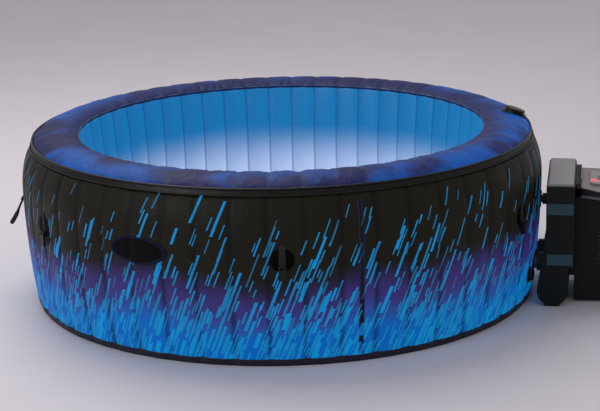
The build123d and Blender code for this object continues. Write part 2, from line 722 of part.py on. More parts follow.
def wall_pipes():
    return Compound([water_pipe(-WATER_SPREAD), water_pipe(WATER_SPREAD), air_pipe()])


def wall_flanges():
    """Welded rings where the lines pass the outer wall, and flat-faced seats on the inner wall."""
    rings = []
    places = [(-WATER_SPREAD, WATER_HEIGHT, WATER_FLANGE, WATER_RADIUS)]
    places.append((WATER_SPREAD, WATER_HEIGHT, WATER_FLANGE, WATER_RADIUS))
    places.append((0, AIR_HEIGHT, AIR_FLANGE, AIR_RADIUS))
    for y, height, radius, hole in places:
        disc = rod(DISC_START, y, height, radius, DISC_REACH)
        ring = laid_on_wall(disc, SEAT, SEAT + FLANGE_THICKNESS)
        rings.append(ring - rod(DISC_START, y, height, hole + SEAT, DISC_REACH))
    for y in (-WATER_SPREAD, WATER_SPREAD):
        seat = rod(INNER_FACE, y, WATER_HEIGHT, INNER_FLANGE_RADIUS, 2 * INNER_FLANGE_REACH) & basin_space()
        hole = rod(INNER_FACE - CUT, y, WATER_HEIGHT, WATER_RADIUS + SEAT, 3 * INNER_FLANGE_REACH)
        rings.append(seat - hole)
    return Compound(rings)


def union_nut(start, y, height, radius, bore, length):
    nut = rod(start, y, height, radius, length)
    for number in range(NUT_RIBS):
        angle = radians(number * 360 / NUT_RIBS)
        rib_y = y + radius * cos(angle)
        rib_z = height + radius * sin(angle)
        nut += rod(start, rib_y, rib_z, NUT_RIB_RADIUS, length)
    return nut - rod(start - CUT, y, height, bore + FIT, length + 2 * CUT)


def water_nut(y):
    start = CONTROL_FACE - NUT_END_GAP - WATER_NUT_LENGTH
    return union_nut(start, y, WATER_HEIGHT, WATER_NUT_RADIUS, WATER_COLLAR, WATER_NUT_LENGTH)


def air_nut():
    start = CONTROL_FACE - AIR_NUT_END_GAP - AIR_NUT_LENGTH
    return union_nut(start, 0, AIR_HEIGHT, AIR_NUT_RADIUS, AIR_COLLAR, AIR_NUT_LENGTH)


def union_seals():
    seals = []
    for y in (-WATER_SPREAD, WATER_SPREAD):
        ring = rod(WATER_UNION, y, WATER_HEIGHT, WATER_COLLAR - SEAL_INSET, SEAL)
        seals.append(ring - rod(WATER_UNION - CUT, y, WATER_HEIGHT, WATER_RADIUS, SEAL + 2 * CUT))
    ring = rod(AIR_UNION, 0, AIR_HEIGHT, AIR_COLLAR - SEAL_INSET, SEAL)
    seals.append(ring - rod(AIR_UNION - CUT, 0, AIR_HEIGHT, AIR_RADIUS, SEAL + 2 * CUT))
    return Compound(seals)


# ---- filter ----
def filter_back():
    """Where the filter housing's back lies on the inner seat."""
    return INNER_FACE - GAP


def filter_housing():
    back = filter_back()
    front = back - FILTER_LENGTH
    shell = rod(front, -WATER_SPREAD, WATER_HEIGHT, FILTER_RADIUS, FILTER_LENGTH)
    inside = FILTER_RADIUS - FILTER_WALL
    shell -= rod(front - CUT, -WATER_SPREAD, WATER_HEIGHT, inside, FILTER_LENGTH + CUT - FILTER_WALL)
    slot_length = FILTER_LENGTH - FILTER_CAP_SKIRT - 6 * FILTER_WALL
    slot_start = front + FILTER_CAP_SKIRT + 3 * FILTER_WALL
    slot_low = (slot_start, -FILTER_SLOT_WIDTH / 2, inside - 2 * CUT)
    slot_high = (slot_start + slot_length, FILTER_SLOT_WIDTH / 2, FILTER_RADIUS + 2 * CUT)
    for number in range(FILTER_SLOTS):
        slot = block(slot_low, slot_high)
        shell -= Pos(0, -WATER_SPREAD, WATER_HEIGHT) * Rot(number * 360 / FILTER_SLOTS, 0, 0) * slot
    return shell - rod(back - 2 * FILTER_WALL, -WATER_SPREAD, WATER_HEIGHT, WATER_BORE, 3 * FILTER_WALL)


def filter_cartridge():
    """Pleated cartridge standing on the housing's back."""
    back = filter_back() - FILTER_WALL - GAP
    length = FILTER_LENGTH - FILTER_WALL - CARTRIDGE_END_GAP
    half_step = 180 / CARTRIDGE_PLEATS
    points = []
    for number in range(2 * CARTRIDGE_PLEATS):
        radius = CARTRIDGE_RADIUS - (number % 2) * CARTRIDGE_PLEAT_DEPTH
        angle = radians(number * half_step)
        points.append((radius * cos(angle), radius * sin(angle)))
    star = plate(points, 0, length) - post(0, 0, -CUT, CARTRIDGE_CORE, length + 2 * CUT)
    return Pos(back - length, -WATER_SPREAD, WATER_HEIGHT) * Rot(0, 90, 0) * star


def filter_cap():
    front = filter_back() - FILTER_LENGTH
    outer = FILTER_RADIUS + FIT + FILTER_CAP_WALL
    start = front - GAP - FILTER_CAP_WALL
    length = FILTER_CAP_WALL + GAP + FILTER_CAP_SKIRT
    cap = rod(start, -WATER_SPREAD, WATER_HEIGHT, outer, length)
    cap -= rod(front - GAP, -WATER_SPREAD, WATER_HEIGHT, FILTER_RADIUS + FIT, length)
    bar_low = (start - CAP_BAR_RISE, -WATER_SPREAD - CAP_BAR_HALF, WATER_HEIGHT - CAP_BAR_HEIGHT / 2)
    bar_high = (start, -WATER_SPREAD + CAP_BAR_HALF, WATER_HEIGHT + CAP_BAR_HEIGHT / 2)
    return cap + block(bar_low, bar_high)


# ---- control base: shells ----
def tower_sides(shift):
    """Side outline of the tower between its feet, drawn in by shift."""
    front = CONTROL_FACE + shift
    back = TOWER_BACK - shift
    step_back = back - TOWER_SLIT_DEPTH
    step = TOWER_SLIT_HEIGHT + shift
    low = TOWER_FLOOR + shift
    high = TOWER_HEIGHT - shift
    return [(front, high), (front, low), (step_back, low), (step_back, step), (back, step), (back, high)]


def tower_cheek(low, high):
    """End of the tower that leans toward the tub and stands on a rounded foot."""
    foot_height = FOOT_PAD - FOOT_PAD_SINK + FOOT_RADIUS
    step_back = TOWER_BACK - TOWER_SLIT_DEPTH
    nose = FOOT_CENTRE - FOOT_RADIUS
    outline = [(CONTROL_FACE, TOWER_HEIGHT), (CONTROL_FACE, LEAN_HEIGHT), (nose, foot_height)]
    outline += [(step_back, foot_height), (step_back, CHEEK_SLIT_HEIGHT)]
    outline += [(TOWER_BACK, CHEEK_SLIT_HEIGHT), (TOWER_BACK, TOWER_HEIGHT)]
    middle = (low + high) / 2
    foot = Pos(FOOT_CENTRE, middle, foot_height) * Rot(90, 0, 0) * Cylinder(FOOT_RADIUS, high - low)
    return side_plate(outline, low, high) + foot


def line_holes(x, length, clearance):
    """Round cutters where the two water lines and the air line pass a wall."""
    radius = WATER_RADIUS + clearance
    cutters = [rod(x, y, WATER_HEIGHT, radius, length) for y in (-WATER_SPREAD, WATER_SPREAD)]
    return cutters[0] + cutters[1] + rod(x, 0, AIR_HEIGHT, AIR_RADIUS + clearance, length)


def tower_housing():
    tower = side_plate(tower_sides(0), -CHEEK_INNER, CHEEK_INNER)
    tower += tower_cheek(CHEEK_INNER, TOWER_HALF_WIDTH)
    tower += tower_cheek(-TOWER_HALF_WIDTH, -CHEEK_INNER)
    reach = TOWER_HALF_WIDTH - CASE_WALL
    tower -= side_plate(tower_sides(CASE_WALL), -CHEEK_INNER + CASE_WALL, CHEEK_INNER - CASE_WALL)
    room_low = (CONTROL_FACE + CASE_WALL, -reach, CHEEK_SLIT_HEIGHT + CASE_WALL)
    tower -= block(room_low, (TOWER_BACK - CASE_WALL, reach, TOWER_HEIGHT - CASE_WALL))
    for y in (-WATER_SPREAD, WATER_SPREAD):
        tower -= rod(CONTROL_FACE - CUT, y, WATER_HEIGHT, WATER_COLLAR + SEAT, CASE_WALL + 2 * CUT)
    tower -= rod(CONTROL_FACE - CUT, 0, AIR_HEIGHT, AIR_COLLAR + SEAT, CASE_WALL + 2 * CUT)
    return tower - line_holes(TOWER_BACK - CASE_WALL - CUT, CASE_WALL + 2 * CUT, SEAT)


def tower_top_trim():
    """Rounded strip along the tower's top."""
    middle = (CONTROL_FACE + TOWER_BACK) / 2
    low = (middle - TRIM_WIDTH / 2, -TOWER_HALF_WIDTH + BAND_MARGIN, TOWER_HEIGHT)
    high = (middle + TRIM_WIDTH / 2, TOWER_HALF_WIDTH - BAND_MARGIN, TOWER_HEIGHT + TRIM_RISE)
    strip = block(low, high)
    return fillet(strip.edges().group_by(Axis.Z)[-1], TRIM_RISE * 0.7)


def accent_bands():
    bands = []
    for bottom in BAND_HEIGHTS:
        for side in (-1, 1):
            near, far = sorted((side * TOWER_HALF_WIDTH, side * (TOWER_HALF_WIDTH + BAND_THICKNESS)))
            low = (CONTROL_FACE + BAND_MARGIN, near, bottom)
            bands.append(block(low, (TOWER_BACK - BAND_MARGIN, far, bottom + BAND_HEIGHT)))
    return Compound(bands)


def main_outline(shift):
    """Plan of the main box with rounded far corners, drawn in by shift."""
    half = MAIN_HALF_WIDTH - shift
    box = Pos((MAIN_START + MAIN_END) / 2, 0) * Rectangle(MAIN_LENGTH - 2 * shift, 2 * half)
    return fillet(box.vertices().group_by(Axis.X)[-1], MAIN_CORNER - shift)


def screw_places():
    inset = CASE_WALL + BOSS_RADIUS + MAIN_CORNER / 2
    xs = (MAIN_START + inset, MAIN_END - inset)
    side = MAIN_HALF_WIDTH - inset
    return [(x, y) for x in xs for y in (-side, side)]


def main_housing():
    box = Pos(0, 0, PLATE_TOP) * extrude(main_outline(0), MAIN_TOP - PLATE_TOP)
    box -= Pos(0, 0, PLATE_TOP - CUT) * extrude(main_outline(CASE_WALL), MAIN_TOP - PLATE_TOP + 2 * CUT)
    box -= line_holes(MAIN_START - CUT, CASE_WALL + 2 * CUT, SEAT)
    gland_hole = rod(MAIN_END - CASE_WALL - CUT, 0, GLAND_HEIGHT, GLAND_RADIUS + SEAT, CASE_WALL + 2 * CUT)
    return box - gland_hole


def base_plate():
    sheet = Pos(0, 0, PLATE_BOTTOM) * extrude(main_outline(0), PLATE_THICKNESS)
    for x, y in screw_places():
        sheet += post(x, y, PLATE_TOP, BOSS_RADIUS, PLATE_THICKNESS)
        sheet -= post(x, y, PLATE_BOTTOM - CUT, SCREW_RADIUS + FIT, 3 * PLATE_THICKNESS)
    return sheet


def housing_screws():
    screws = []
    for x, y in screw_places():
        head = post(x, y, PLATE_BOTTOM - SCREW_HEAD / 2, SCREW_HEAD, SCREW_HEAD / 2)
        screws.append(head + post(x, y, PLATE_BOTTOM, SCREW_RADIUS, 2 * PLATE_THICKNESS))
    return Compound(screws)


def rubber_feet():
    """Pads under the tower's two rounded feet and under the base plate."""
    pads = []
    foot_height = FOOT_PAD - FOOT_PAD_SINK + FOOT_RADIUS
    for side in (-1, 1):
        near, far = sorted((side * CHEEK_INNER, side * TOWER_HALF_WIDTH))
        half = FOOT_RADIUS / 2
        pad = block((FOOT_CENTRE - half, near, 0), (FOOT_CENTRE + half, far, FOOT_PAD))
        foot = Rot(90, 0, 0) * Cylinder(FOOT_RADIUS + SEAT, 2 * far - 2 * near)
        pads.append(pad - Pos(FOOT_CENTRE, (near + far) / 2, foot_height) * foot)
    for x, y in screw_places():
        inward = FOOT_BUTTON_RADIUS + 2 * SCREW_HEAD
        pads.append(post(x, y - inward * (1 if y > 0 else -1), 0, FOOT_BUTTON_RADIUS, PLATE_BOTTOM))
    return Compound(pads)


def hood_plan(shift):
    """Plan of the control hood, wider away from the tub, drawn in by shift."""
    near = HOOD_HALF_NEAR - shift
    far = HOOD_HALF_FAR - shift
    start = HOOD_START + shift
    flare = HOOD_START + HOOD_FLARE
    end = HOOD_END - shift
    corners = [(start, -near), (flare, -far), (end, -far), (end, far), (flare, far), (start, near)]
    face = make_face(Polyline(*corners, close=True))
    return fillet(face.vertices().group_by(Axis.X)[-1], HOOD_CORNER)


def hood_top():
    """Plane of the hood's sloping top, with its origin at the near edge."""
    slope = radians(HOOD_SLOPE)
    origin = (HOOD_START, 0, MAIN_TOP + HOOD_HEIGHT)
    return Plane(origin=origin, x_dir=(cos(slope), 0, -sin(slope)), z_dir=(sin(slope), 0, cos(slope)))


def under_slope(shape, drop):
    """What of a shape lies below the hood's top lowered by drop."""
    reach = 4 * HOOD_HALF_FAR + MAIN_LENGTH
    cutter = Pos(0, 0, -drop) * Box(2 * reach, 2 * reach, reach, align=STANDING)
    return shape - (hood_top() * cutter)


def control_hood():
    hood = Pos(0, 0, MAIN_TOP) * extrude(hood_plan(0), 2 * HOOD_HEIGHT)
    hood = under_slope(hood, 0)
    room = Pos(0, 0, MAIN_TOP + CASE_WALL) * extrude(hood_plan(CASE_WALL), 2 * HOOD_HEIGHT)
    hood -= under_slope(room, CASE_WALL)
    half = HOOD_FLOOR_OPENING / 2
    opening_low = (HOOD_END - 2 * half, -half, MAIN_TOP - CUT)
    return hood - block(opening_low, (HOOD_END - half, half, MAIN_TOP + CASE_WALL + CUT))


def panel_frame():
    """Plane on the hood's top at the centre of the control panel."""
    return hood_top() * Pos(PANEL_CENTRE, 0, 0)


def button_places():
    """Centre of each button on the panel: one row beside the display and one beyond it."""
    row = PANEL_LENGTH / 4
    side = DISPLAY_WIDTH / 2 + BUTTON_WIDTH / 2 + PANEL_CORNER / 2
    places = [(row, -side), (row, 0), (row, side), (-row / 2, side), (-row / 2, -side)]
    return dict(zip(BUTTON_NAMES, places))


def display_place():
    return -PANEL_LENGTH / 8, 0


def light_place():
    return -PANEL_LENGTH / 2 + 3 * LIGHT_RADIUS, -PANEL_WIDTH / 4


def rounded_pad(length, width, height, corner):
    outline = RectangleRounded(length, width, corner)
    return extrude(outline, height)


def control_panel():
    panel = rounded_pad(PANEL_LENGTH, PANEL_WIDTH, PANEL_THICKNESS, PANEL_CORNER)
    for x, y in button_places().values():
        length = BUTTON_LENGTH + 2 * GAP
        width = BUTTON_WIDTH + 2 * GAP
        pocket = rounded_pad(length, width, 3 * PANEL_THICKNESS, BUTTON_CORNER + GAP)
        panel -= Pos(x, y, -CUT) * pocket
    length = DISPLAY_LENGTH + 2 * SEAT
    window = rounded_pad(length, DISPLAY_WIDTH + 2 * SEAT, PANEL_THICKNESS, DISPLAY_CORNER)
    x, y = display_place()
    panel -= Pos(x, y, PANEL_THICKNESS - DISPLAY_DEPTH) * window
    x, y = light_place()
    panel -= post(x, y, PANEL_THICKNESS - DISPLAY_DEPTH, LIGHT_RADIUS + SEAT, PANEL_THICKNESS)
    return panel_frame() * panel


def display_window():
    x, y = display_place()
    pane = rounded_pad(DISPLAY_LENGTH, DISPLAY_WIDTH, DISPLAY_DEPTH, DISPLAY_CORNER)
    return panel_frame() * Pos(x, y, PANEL_THICKNESS - DISPLAY_DEPTH) * pane


def indicator_light():
    x, y = light_place()
    stem = post(0, 0, 0, LIGHT_RADIUS, DISPLAY_DEPTH)
    ball = Pos(0, 0, DISPLAY_DEPTH) * Sphere(LIGHT_RADIUS)
    dome = ball & post(0, 0, DISPLAY_DEPTH, LIGHT_RADIUS, LIGHT_RADIUS)
    return panel_frame() * Pos(x, y, PANEL_THICKNESS - DISPLAY_DEPTH) * (stem + dome)


def panel_button(name):
    x, y = button_places()[name]
    height = PANEL_THICKNESS - BUTTON_FLOOR + BUTTON_RISE
    cap = rounded_pad(BUTTON_LENGTH, BUTTON_WIDTH, height, BUTTON_CORNER)
    return panel_frame() * Pos(x, y, BUTTON_FLOOR) * cap


def control_board():
    start = HOOD_START + 2 * CASE_WALL + BOARD_LENGTH / 4
    low = (start, -BOARD_WIDTH / 2, MAIN_TOP + CASE_WALL)
    board = block(low, (start + BOARD_LENGTH, BOARD_WIDTH / 2, low[2] + BOARD_THICKNESS))
    chip_length, chip_width, chip_height = CHIP_SIZE
    board_top = low[2] + BOARD_THICKNESS
    for number in range(CHIP_COUNT):
        y = (number - 1) * BOARD_WIDTH / CHIP_COUNT
        chip_low = (start + CHIP_START, y - chip_width / 2, board_top)
        board += block(chip_low, (chip_low[0] + chip_length, y + chip_width / 2, board_top + chip_height))
    return board


# ---- control base: water and air ----
def pump_start():
    return MAIN_START + PUMP_START


def pump_housing():
    x = pump_start()
    y = -WATER_SPREAD
    z = WATER_HEIGHT
    body = rod(x, y, z, PUMP_RADIUS, PUMP_VOLUTE) + rod(x + PUMP_VOLUTE, y, z, MOTOR_RADIUS, MOTOR_LENGTH)
    foot_low = (x + MOTOR_FOOT_INSET, y - MOTOR_RADIUS / 2, PLATE_TOP)
    body += block(foot_low, (x + PUMP_VOLUTE + MOTOR_LENGTH - MOTOR_FOOT_INSET, y + MOTOR_RADIUS / 2, z))
    body -= rod(x + CASE_WALL, y, z, PUMP_RADIUS - CASE_WALL, PUMP_VOLUTE - 2 * CASE_WALL)
    body -= rod(x + PUMP_VOLUTE + CASE_WALL, y, z, ROTOR_RADIUS + ROTOR_AIR_GAP, MOTOR_LENGTH - 2 * CASE_WALL)
    body -= rod(x + PUMP_VOLUTE / 2, y, z, SHAFT_RADIUS + FIT, MOTOR_LENGTH + PUMP_VOLUTE / 2 - CASE_WALL / 2)
    body -= rod(x - CUT, y, z, WATER_BORE, CASE_WALL + 2 * CUT)
    return body - post(x + PUMP_VOLUTE / 2, y, z, LINK_BORE, PUMP_RADIUS + CUT)


def pump_rotor():
    x = pump_start()
    y = -WATER_SPREAD
    z = WATER_HEIGHT
    shaft_end = x + PUMP_VOLUTE + MOTOR_LENGTH - CASE_WALL / 2 - GAP
    start = x + CASE_WALL + IMPELLER_START
    half_blade = IMPELLER_BLADE / 2
    disc = rod(start, y, z, IMPELLER_RADIUS, IMPELLER_DISC)
    blade_low = (start + IMPELLER_DISC / 2, -half_blade, SHAFT_RADIUS / 2)
    blade_high = (x + PUMP_VOLUTE / 2 + IMPELLER_REACH, half_blade, IMPELLER_RADIUS - CUT)
    for number in range(IMPELLER_BLADES):
        disc += Pos(0, y, z) * Rot(number * 360 / IMPELLER_BLADES, 0, 0) * block(blade_low, blade_high)
    core_start = x + PUMP_VOLUTE + 2 * CASE_WALL + ROTOR_END_GAP
    core = rod(core_start, y, z, ROTOR_RADIUS, MOTOR_LENGTH - 4 * CASE_WALL - 2 * ROTOR_END_GAP)
    return disc + rod(start, y, z, SHAFT_RADIUS, shaft_end - start) + core


def heater_tube():
    x = pump_start()
    shell = rod(x, WATER_SPREAD, WATER_HEIGHT, HEATER_RADIUS, HEATER_LENGTH)
    inside = HEATER_RADIUS - CASE_WALL
    foot_length, foot_width = HEATER_FOOT
    near = WATER_SPREAD - foot_width / 2
    for start in (x + HEATER_FOOT_INSET, x + HEATER_LENGTH - HEATER_FOOT_INSET - foot_length):
        shell += block((start, near, PLATE_TOP), (start + foot_length, near + foot_width, WATER_HEIGHT))
    shell -= rod(x + CASE_WALL, WATER_SPREAD, WATER_HEIGHT, inside, HEATER_LENGTH - 2 * CASE_WALL)
    shell -= rod(x - CUT, WATER_SPREAD, WATER_HEIGHT, WATER_BORE, CASE_WALL + 2 * CUT)
    outlet = x + HEATER_LENGTH - HEATER_OUTLET
    return shell - post(outlet, WATER_SPREAD, WATER_HEIGHT, LINK_BORE, HEATER_RADIUS + CUT)


def blower_centre():
    return AIR_HEIGHT - BLOWER_BELOW_AIR


def blower_housing():
    x = MAIN_START + BLOWER_START
    z = blower_centre()
    drum = rod(x, 0, z, BLOWER_RADIUS, BLOWER_LENGTH)
    foot_top = z - BLOWER_RADIUS + BLOWER_FOOT_OVERLAP
    foot_low = (x + BLOWER_FOOT_INSET, -MOTOR_RADIUS / 2, PLATE_TOP)
    drum += block(foot_low, (x + BLOWER_LENGTH - BLOWER_FOOT_INSET, MOTOR_RADIUS / 2, foot_top))
    drum -= rod(x + CASE_WALL, 0, z, BLOWER_RADIUS - CASE_WALL, BLOWER_LENGTH - 2 * CASE_WALL)
    drum -= rod(x - CUT, 0, z, SHAFT_RADIUS + FIT, BLOWER_LENGTH + 2 * CUT)
    return drum - rod(x - CUT, 0, AIR_HEIGHT, AIR_BORE, CASE_WALL + 2 * CUT)


def blower_rotor():
    x = MAIN_START + BLOWER_START
    z = blower_centre()
    fan = rod(x + BLOWER_LENGTH / 2, 0, z, FAN_RADIUS, FAN_DISC)
    blade_low = (x + BLOWER_LENGTH / 4, -FAN_BLADE / 2, FAN_RADIUS / 2)
    blade_high = (x + BLOWER_LENGTH / 2, FAN_BLADE / 2, FAN_RADIUS - CUT)
    for number in range(FAN_BLADES):
        fan += Pos(0, 0, z) * Rot(number * 360 / FAN_BLADES, 0, 0) * block(blade_low, blade_high)
    return fan + rod(x, 0, z, SHAFT_RADIUS, BLOWER_LENGTH)


def internal_pipes():
    x = pump_start()
    start = WATER_UNION + SEAL
    collar_length = WATER_UNION_REACH + CASE_WALL
    lines = []
    for y in (-WATER_SPREAD, WATER_SPREAD):
        line = tube([(start, y, WATER_HEIGHT), (x, y, WATER_HEIGHT)], WATER_RADIUS, WATER_BORE)
        collar = rod(start, y, WATER_HEIGHT, WATER_COLLAR, collar_length)
        lines.append(line + (collar - rod(WATER_UNION, y, WATER_HEIGHT, WATER_BORE, 2 * collar_length)))
    over = (x + PUMP_VOLUTE / 2, -WATER_SPREAD, LINK_HEIGHT)
    across = (x + PUMP_VOLUTE / 2, WATER_SPREAD, LINK_HEIGHT)
    beyond = (x + HEATER_LENGTH - HEATER_OUTLET, WATER_SPREAD, LINK_HEIGHT)
    points = [(over[0], over[1], WATER_HEIGHT), over, across, beyond, (beyond[0], beyond[1], WATER_HEIGHT)]
    link = tube(points, LINK_RADIUS, LINK_BORE)
    link -= rod(x - CUT, -WATER_SPREAD, WATER_HEIGHT, PUMP_RADIUS + SEAT, PUMP_VOLUTE + 2 * CUT)
    heater = rod(x - CUT, WATER_SPREAD, WATER_HEIGHT, HEATER_RADIUS + SEAT, HEATER_LENGTH + 2 * CUT)
    lines.append(link - heater)
    blower = MAIN_START + BLOWER_START
    air = tube([(AIR_UNION + SEAL, 0, AIR_HEIGHT), (blower, 0, AIR_HEIGHT)], AIR_RADIUS, AIR_BORE)
    collar = rod(AIR_UNION + SEAL, 0, AIR_HEIGHT, AIR_COLLAR, AIR_UNION_REACH + CASE_WALL)
    lines.append(air + (collar - rod(AIR_UNION, 0, AIR_HEIGHT, AIR_BORE, 4 * AIR_UNION_REACH)))
    return Compound(lines)


def cord_gland():
    body = rod(MAIN_END - 2 * CASE_WALL, 0, GLAND_HEIGHT, GLAND_RADIUS, 2 * CASE_WALL)
    flange = rod(MAIN_END, 0, GLAND_HEIGHT, GLAND_RADIUS + GLAND_FLANGE_MARGIN, GLAND_FLANGE)
    snout = rod(MAIN_END + GLAND_FLANGE, 0, GLAND_HEIGHT, GLAND_RADIUS - CUT, GLAND_SNOUT)
    return body + flange + snout


PARTS = {
    "ground_sheet": ground_sheet,
    "floor_liner": floor_liner,
    "outer_wall": outer_wall,
    "inner_wall": inner_wall,
    "rim_seam_band": seam_band,
    "rim_piping": rim_piping,
    "top_rim": top_rim,
    "base_hem_band": base_hem,
    "wall_webs": wall_webs,
    "bubble_ring": bubble_ring,
    "wall_seam_strip": wall_seam_strip,
    "badge_plate": badge_plate,
    "latch_patches": latch_patches,
    "latch_webbing": latch_webbing,
    "handle_anchors": handle_anchors,
    "rim_valve_body": rim_valve_body,
    "rim_valve_cap": rim_valve_cap,
    "drain_valve_body": drain_valve_body,
    "drain_valve_cap": drain_valve_cap,
    "wall_pipes": wall_pipes,
    "wall_flanges": wall_flanges,
    "filter_housing": filter_housing,
    "filter_cartridge": filter_cartridge,
    "filter_cap": filter_cap,
    "union_nut_air": air_nut,
    "union_seals": union_seals,
    "tower_housing": tower_housing,
    "tower_top_trim": tower_top_trim,
    "accent_bands": accent_bands,
    "main_housing": main_housing,
    "base_plate": base_plate,
    "control_hood": control_hood,
    "control_panel": control_panel,
    "display_window": display_window,
    "indicator_light": indicator_light,
    "pump_housing": pump_housing,
    "pump_rotor": pump_rotor,
    "heater_tube": heater_tube,
    "blower_housing": blower_housing,
    "blower_rotor": blower_rotor,
    "control_board": control_board,
    "internal_pipes": internal_pipes,
    "rubber_feet": rubber_feet,
    "housing_screws": housing_screws,
    "cord_gland": cord_gland,
}


def main():
    os.makedirs("parts", exist_ok=True)
    shapes = {name: make() for name, make in PARTS.items()}
    shapes["union_nut_supply"] = water_nut(-WATER_SPREAD)
    shapes["union_nut_return"] = water_nut(WATER_SPREAD)
    buckle = latch_buckle()
    for number, bearing in enumerate(latch_bearings(), start=1):
        shapes[f"latch_buckle_{number}"] = at_bearing(buckle, bearing)
    handle = carry_handle()
    for place, bearing in HANDLE_BEARINGS.items():
        shapes[f"carry_handle_{place}"] = at_bearing(handle, bearing)
    for name in BUTTON_NAMES:
        shapes[f"button_{name}"] = panel_button(name)
    for name, shape in shapes.items():
        solids = shape.solids() if hasattr(shape, "solids") else ShapeList(shape).solids()
        whole = solids[0] if len(solids) == 1 else Compound(solids)
        export_step(whole, f"parts/{name}.step")
    print(len(shapes), "nodes")


main()
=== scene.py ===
import json
from math import atan2, cos, exp, pi, radians, sin, sqrt, tan

import bmesh
import bpy
from mathutils import Euler, Matrix, Vector, noise


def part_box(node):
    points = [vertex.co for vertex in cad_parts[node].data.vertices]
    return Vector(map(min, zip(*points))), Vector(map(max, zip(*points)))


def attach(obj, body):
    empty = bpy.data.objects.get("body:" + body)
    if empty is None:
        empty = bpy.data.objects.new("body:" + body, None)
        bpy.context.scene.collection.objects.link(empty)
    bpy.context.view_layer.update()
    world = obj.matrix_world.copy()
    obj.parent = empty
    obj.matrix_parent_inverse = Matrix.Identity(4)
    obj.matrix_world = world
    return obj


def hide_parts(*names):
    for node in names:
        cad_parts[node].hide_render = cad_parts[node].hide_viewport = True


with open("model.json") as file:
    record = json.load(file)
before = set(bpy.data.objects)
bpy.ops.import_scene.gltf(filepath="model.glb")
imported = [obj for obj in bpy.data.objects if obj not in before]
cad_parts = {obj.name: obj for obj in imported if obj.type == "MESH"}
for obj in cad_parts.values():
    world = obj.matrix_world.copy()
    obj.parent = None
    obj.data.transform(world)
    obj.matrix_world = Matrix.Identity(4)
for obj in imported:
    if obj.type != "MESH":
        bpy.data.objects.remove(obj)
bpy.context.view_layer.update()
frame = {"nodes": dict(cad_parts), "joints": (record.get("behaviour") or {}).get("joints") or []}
JOINTS = {joint["name"]: joint for joint in frame["joints"]}

# ---- sizes read from the frame, in metres ----


def reach(node):
    """Largest distance of a round node from the centre line."""
    low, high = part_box(node)
    return (high.y - low.y) / 2


BASE_RADIUS = reach("ground_sheet")
WIDE_RADIUS = reach("outer_wall")
SEAM_RADIUS = reach("rim_seam_band")
PIPING_RADIUS = reach("top_rim")
SKIN = 0.002  # thickness of the vinyl skins
RIM_INNER_RADIUS = reach("inner_wall") - SKIN
SHEET_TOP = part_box("ground_sheet")[1].z
SEAM_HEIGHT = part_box("rim_seam_band")[0].z
PIPING_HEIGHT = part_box("rim_seam_band")[1].z
RIM_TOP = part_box("top_rim")[1].z
LINER_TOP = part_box("inner_wall")[1].z
FLOOR_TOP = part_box("floor_liner")[1].z
BELLY_HEIGHT = 0.5  # widest place of the outer wall
CREST_INSET = 0.153  # rim's highest circle, in from the belly
CREST_RADIUS = WIDE_RADIUS - CREST_INSET
CREST_CURVE = 0.167
LINER_BULGE = 0.022
WEBS = 50
PITCH = 2 * pi / WEBS
TURNS = 900  # steps round the tub

# ---- how the inflated skins swell, crease and ripple, in metres ----
EDGE_FADE = 0.03  # where the swelling dies out at the wall's edges
HEM_REACH = 0.07  # how high the puckers rise from the hem
SEAM_REACH = 0.03  # how far they fall from the rim seam
WALL_SWELL = 0.0035
WALL_CREASE = 0.0028
WALL_CREASE_WIDTH = 0.010
HEM_CREASE = 0.007
HEM_CREASE_WIDTH = 0.012
HEM_RIPPLE = 0.0035
SEAM_RIPPLE = 0.0012
WALL_RIPPLE = 0.0010
FOLD_REACH = 0.06  # how far the rim's folds run out from its inner edge
BRIM_REACH = 0.03
BRIM_FADE = 0.012
LIP_FADE = 0.006
RIM_SINK = 0.0022  # keeps the rim's folds under its CAD shape
RIM_SWELL = 0.0022
RIM_CREASE = 0.0014
LIP_CREASE = 0.002
RIM_CREASE_WIDTH = 0.009
RIM_FOLD = 0.0011
LIP_FOLD = 0.0058
BRIM_RIPPLE = 0.0014
LINER_REACH = 0.05
LINER_FADE = 0.02
LINER_SWELL = 0.004
LINER_CREASE = 0.006
LINER_CREASE_WIDTH = 0.014
LINER_RIPPLE = 0.002

# Each ripple: waves round the tub, waves along the skin, seed.
HEM_WAVES = (22, 9, 3)
SEAM_WAVES = (40, 6, 11)
WALL_WAVES = (5, 3, 5)
FOLD_WAVES = (30, 4, 21)
FINE_FOLD_WAVES = (62, 5, 23)
BRIM_WAVES = (26, 4, 31)
LINER_WAVES = (20, 8, 41)
BEAD_WAVES = (30, 1, 51)
BAND_WAVES = (40, 4, 61)


def bearing_of(point):
    """Angle of a place round the tub, from +X."""
    return atan2(point[1], point[0])


# ---- meshes ----
def make_object(name, points, faces, smooth=True):
    mesh = bpy.data.meshes.new(name)
    mesh.from_pydata(points, [], faces)
    mesh.validate()
    mesh.update()
    if smooth:
        mesh.polygons.foreach_set("use_smooth", [True] * len(mesh.polygons))
    made = bpy.data.objects.new(name, mesh)
    bpy.context.collection.objects.link(made)
    return made


def closed_turn(name, outline, turns, place):
    """Closed skin whose section is a closed outline; place gives each point at an angle."""
    count = len(outline)
    points = []
    for step in range(turns):
        angle = 2 * pi * step / turns
        points += [place(angle, *sample) for sample in outline]
    faces = []
    for step in range(turns):
        here = step * count
        there = (step + 1) % turns * count
        for index in range(count):
            after = (index + 1) % count
            faces.append((here + index, here + after, there + after, there + index))
    return make_object(name, points, faces)


def polar(angle, radius, height):
    return (radius * cos(angle), radius * sin(angle), height)


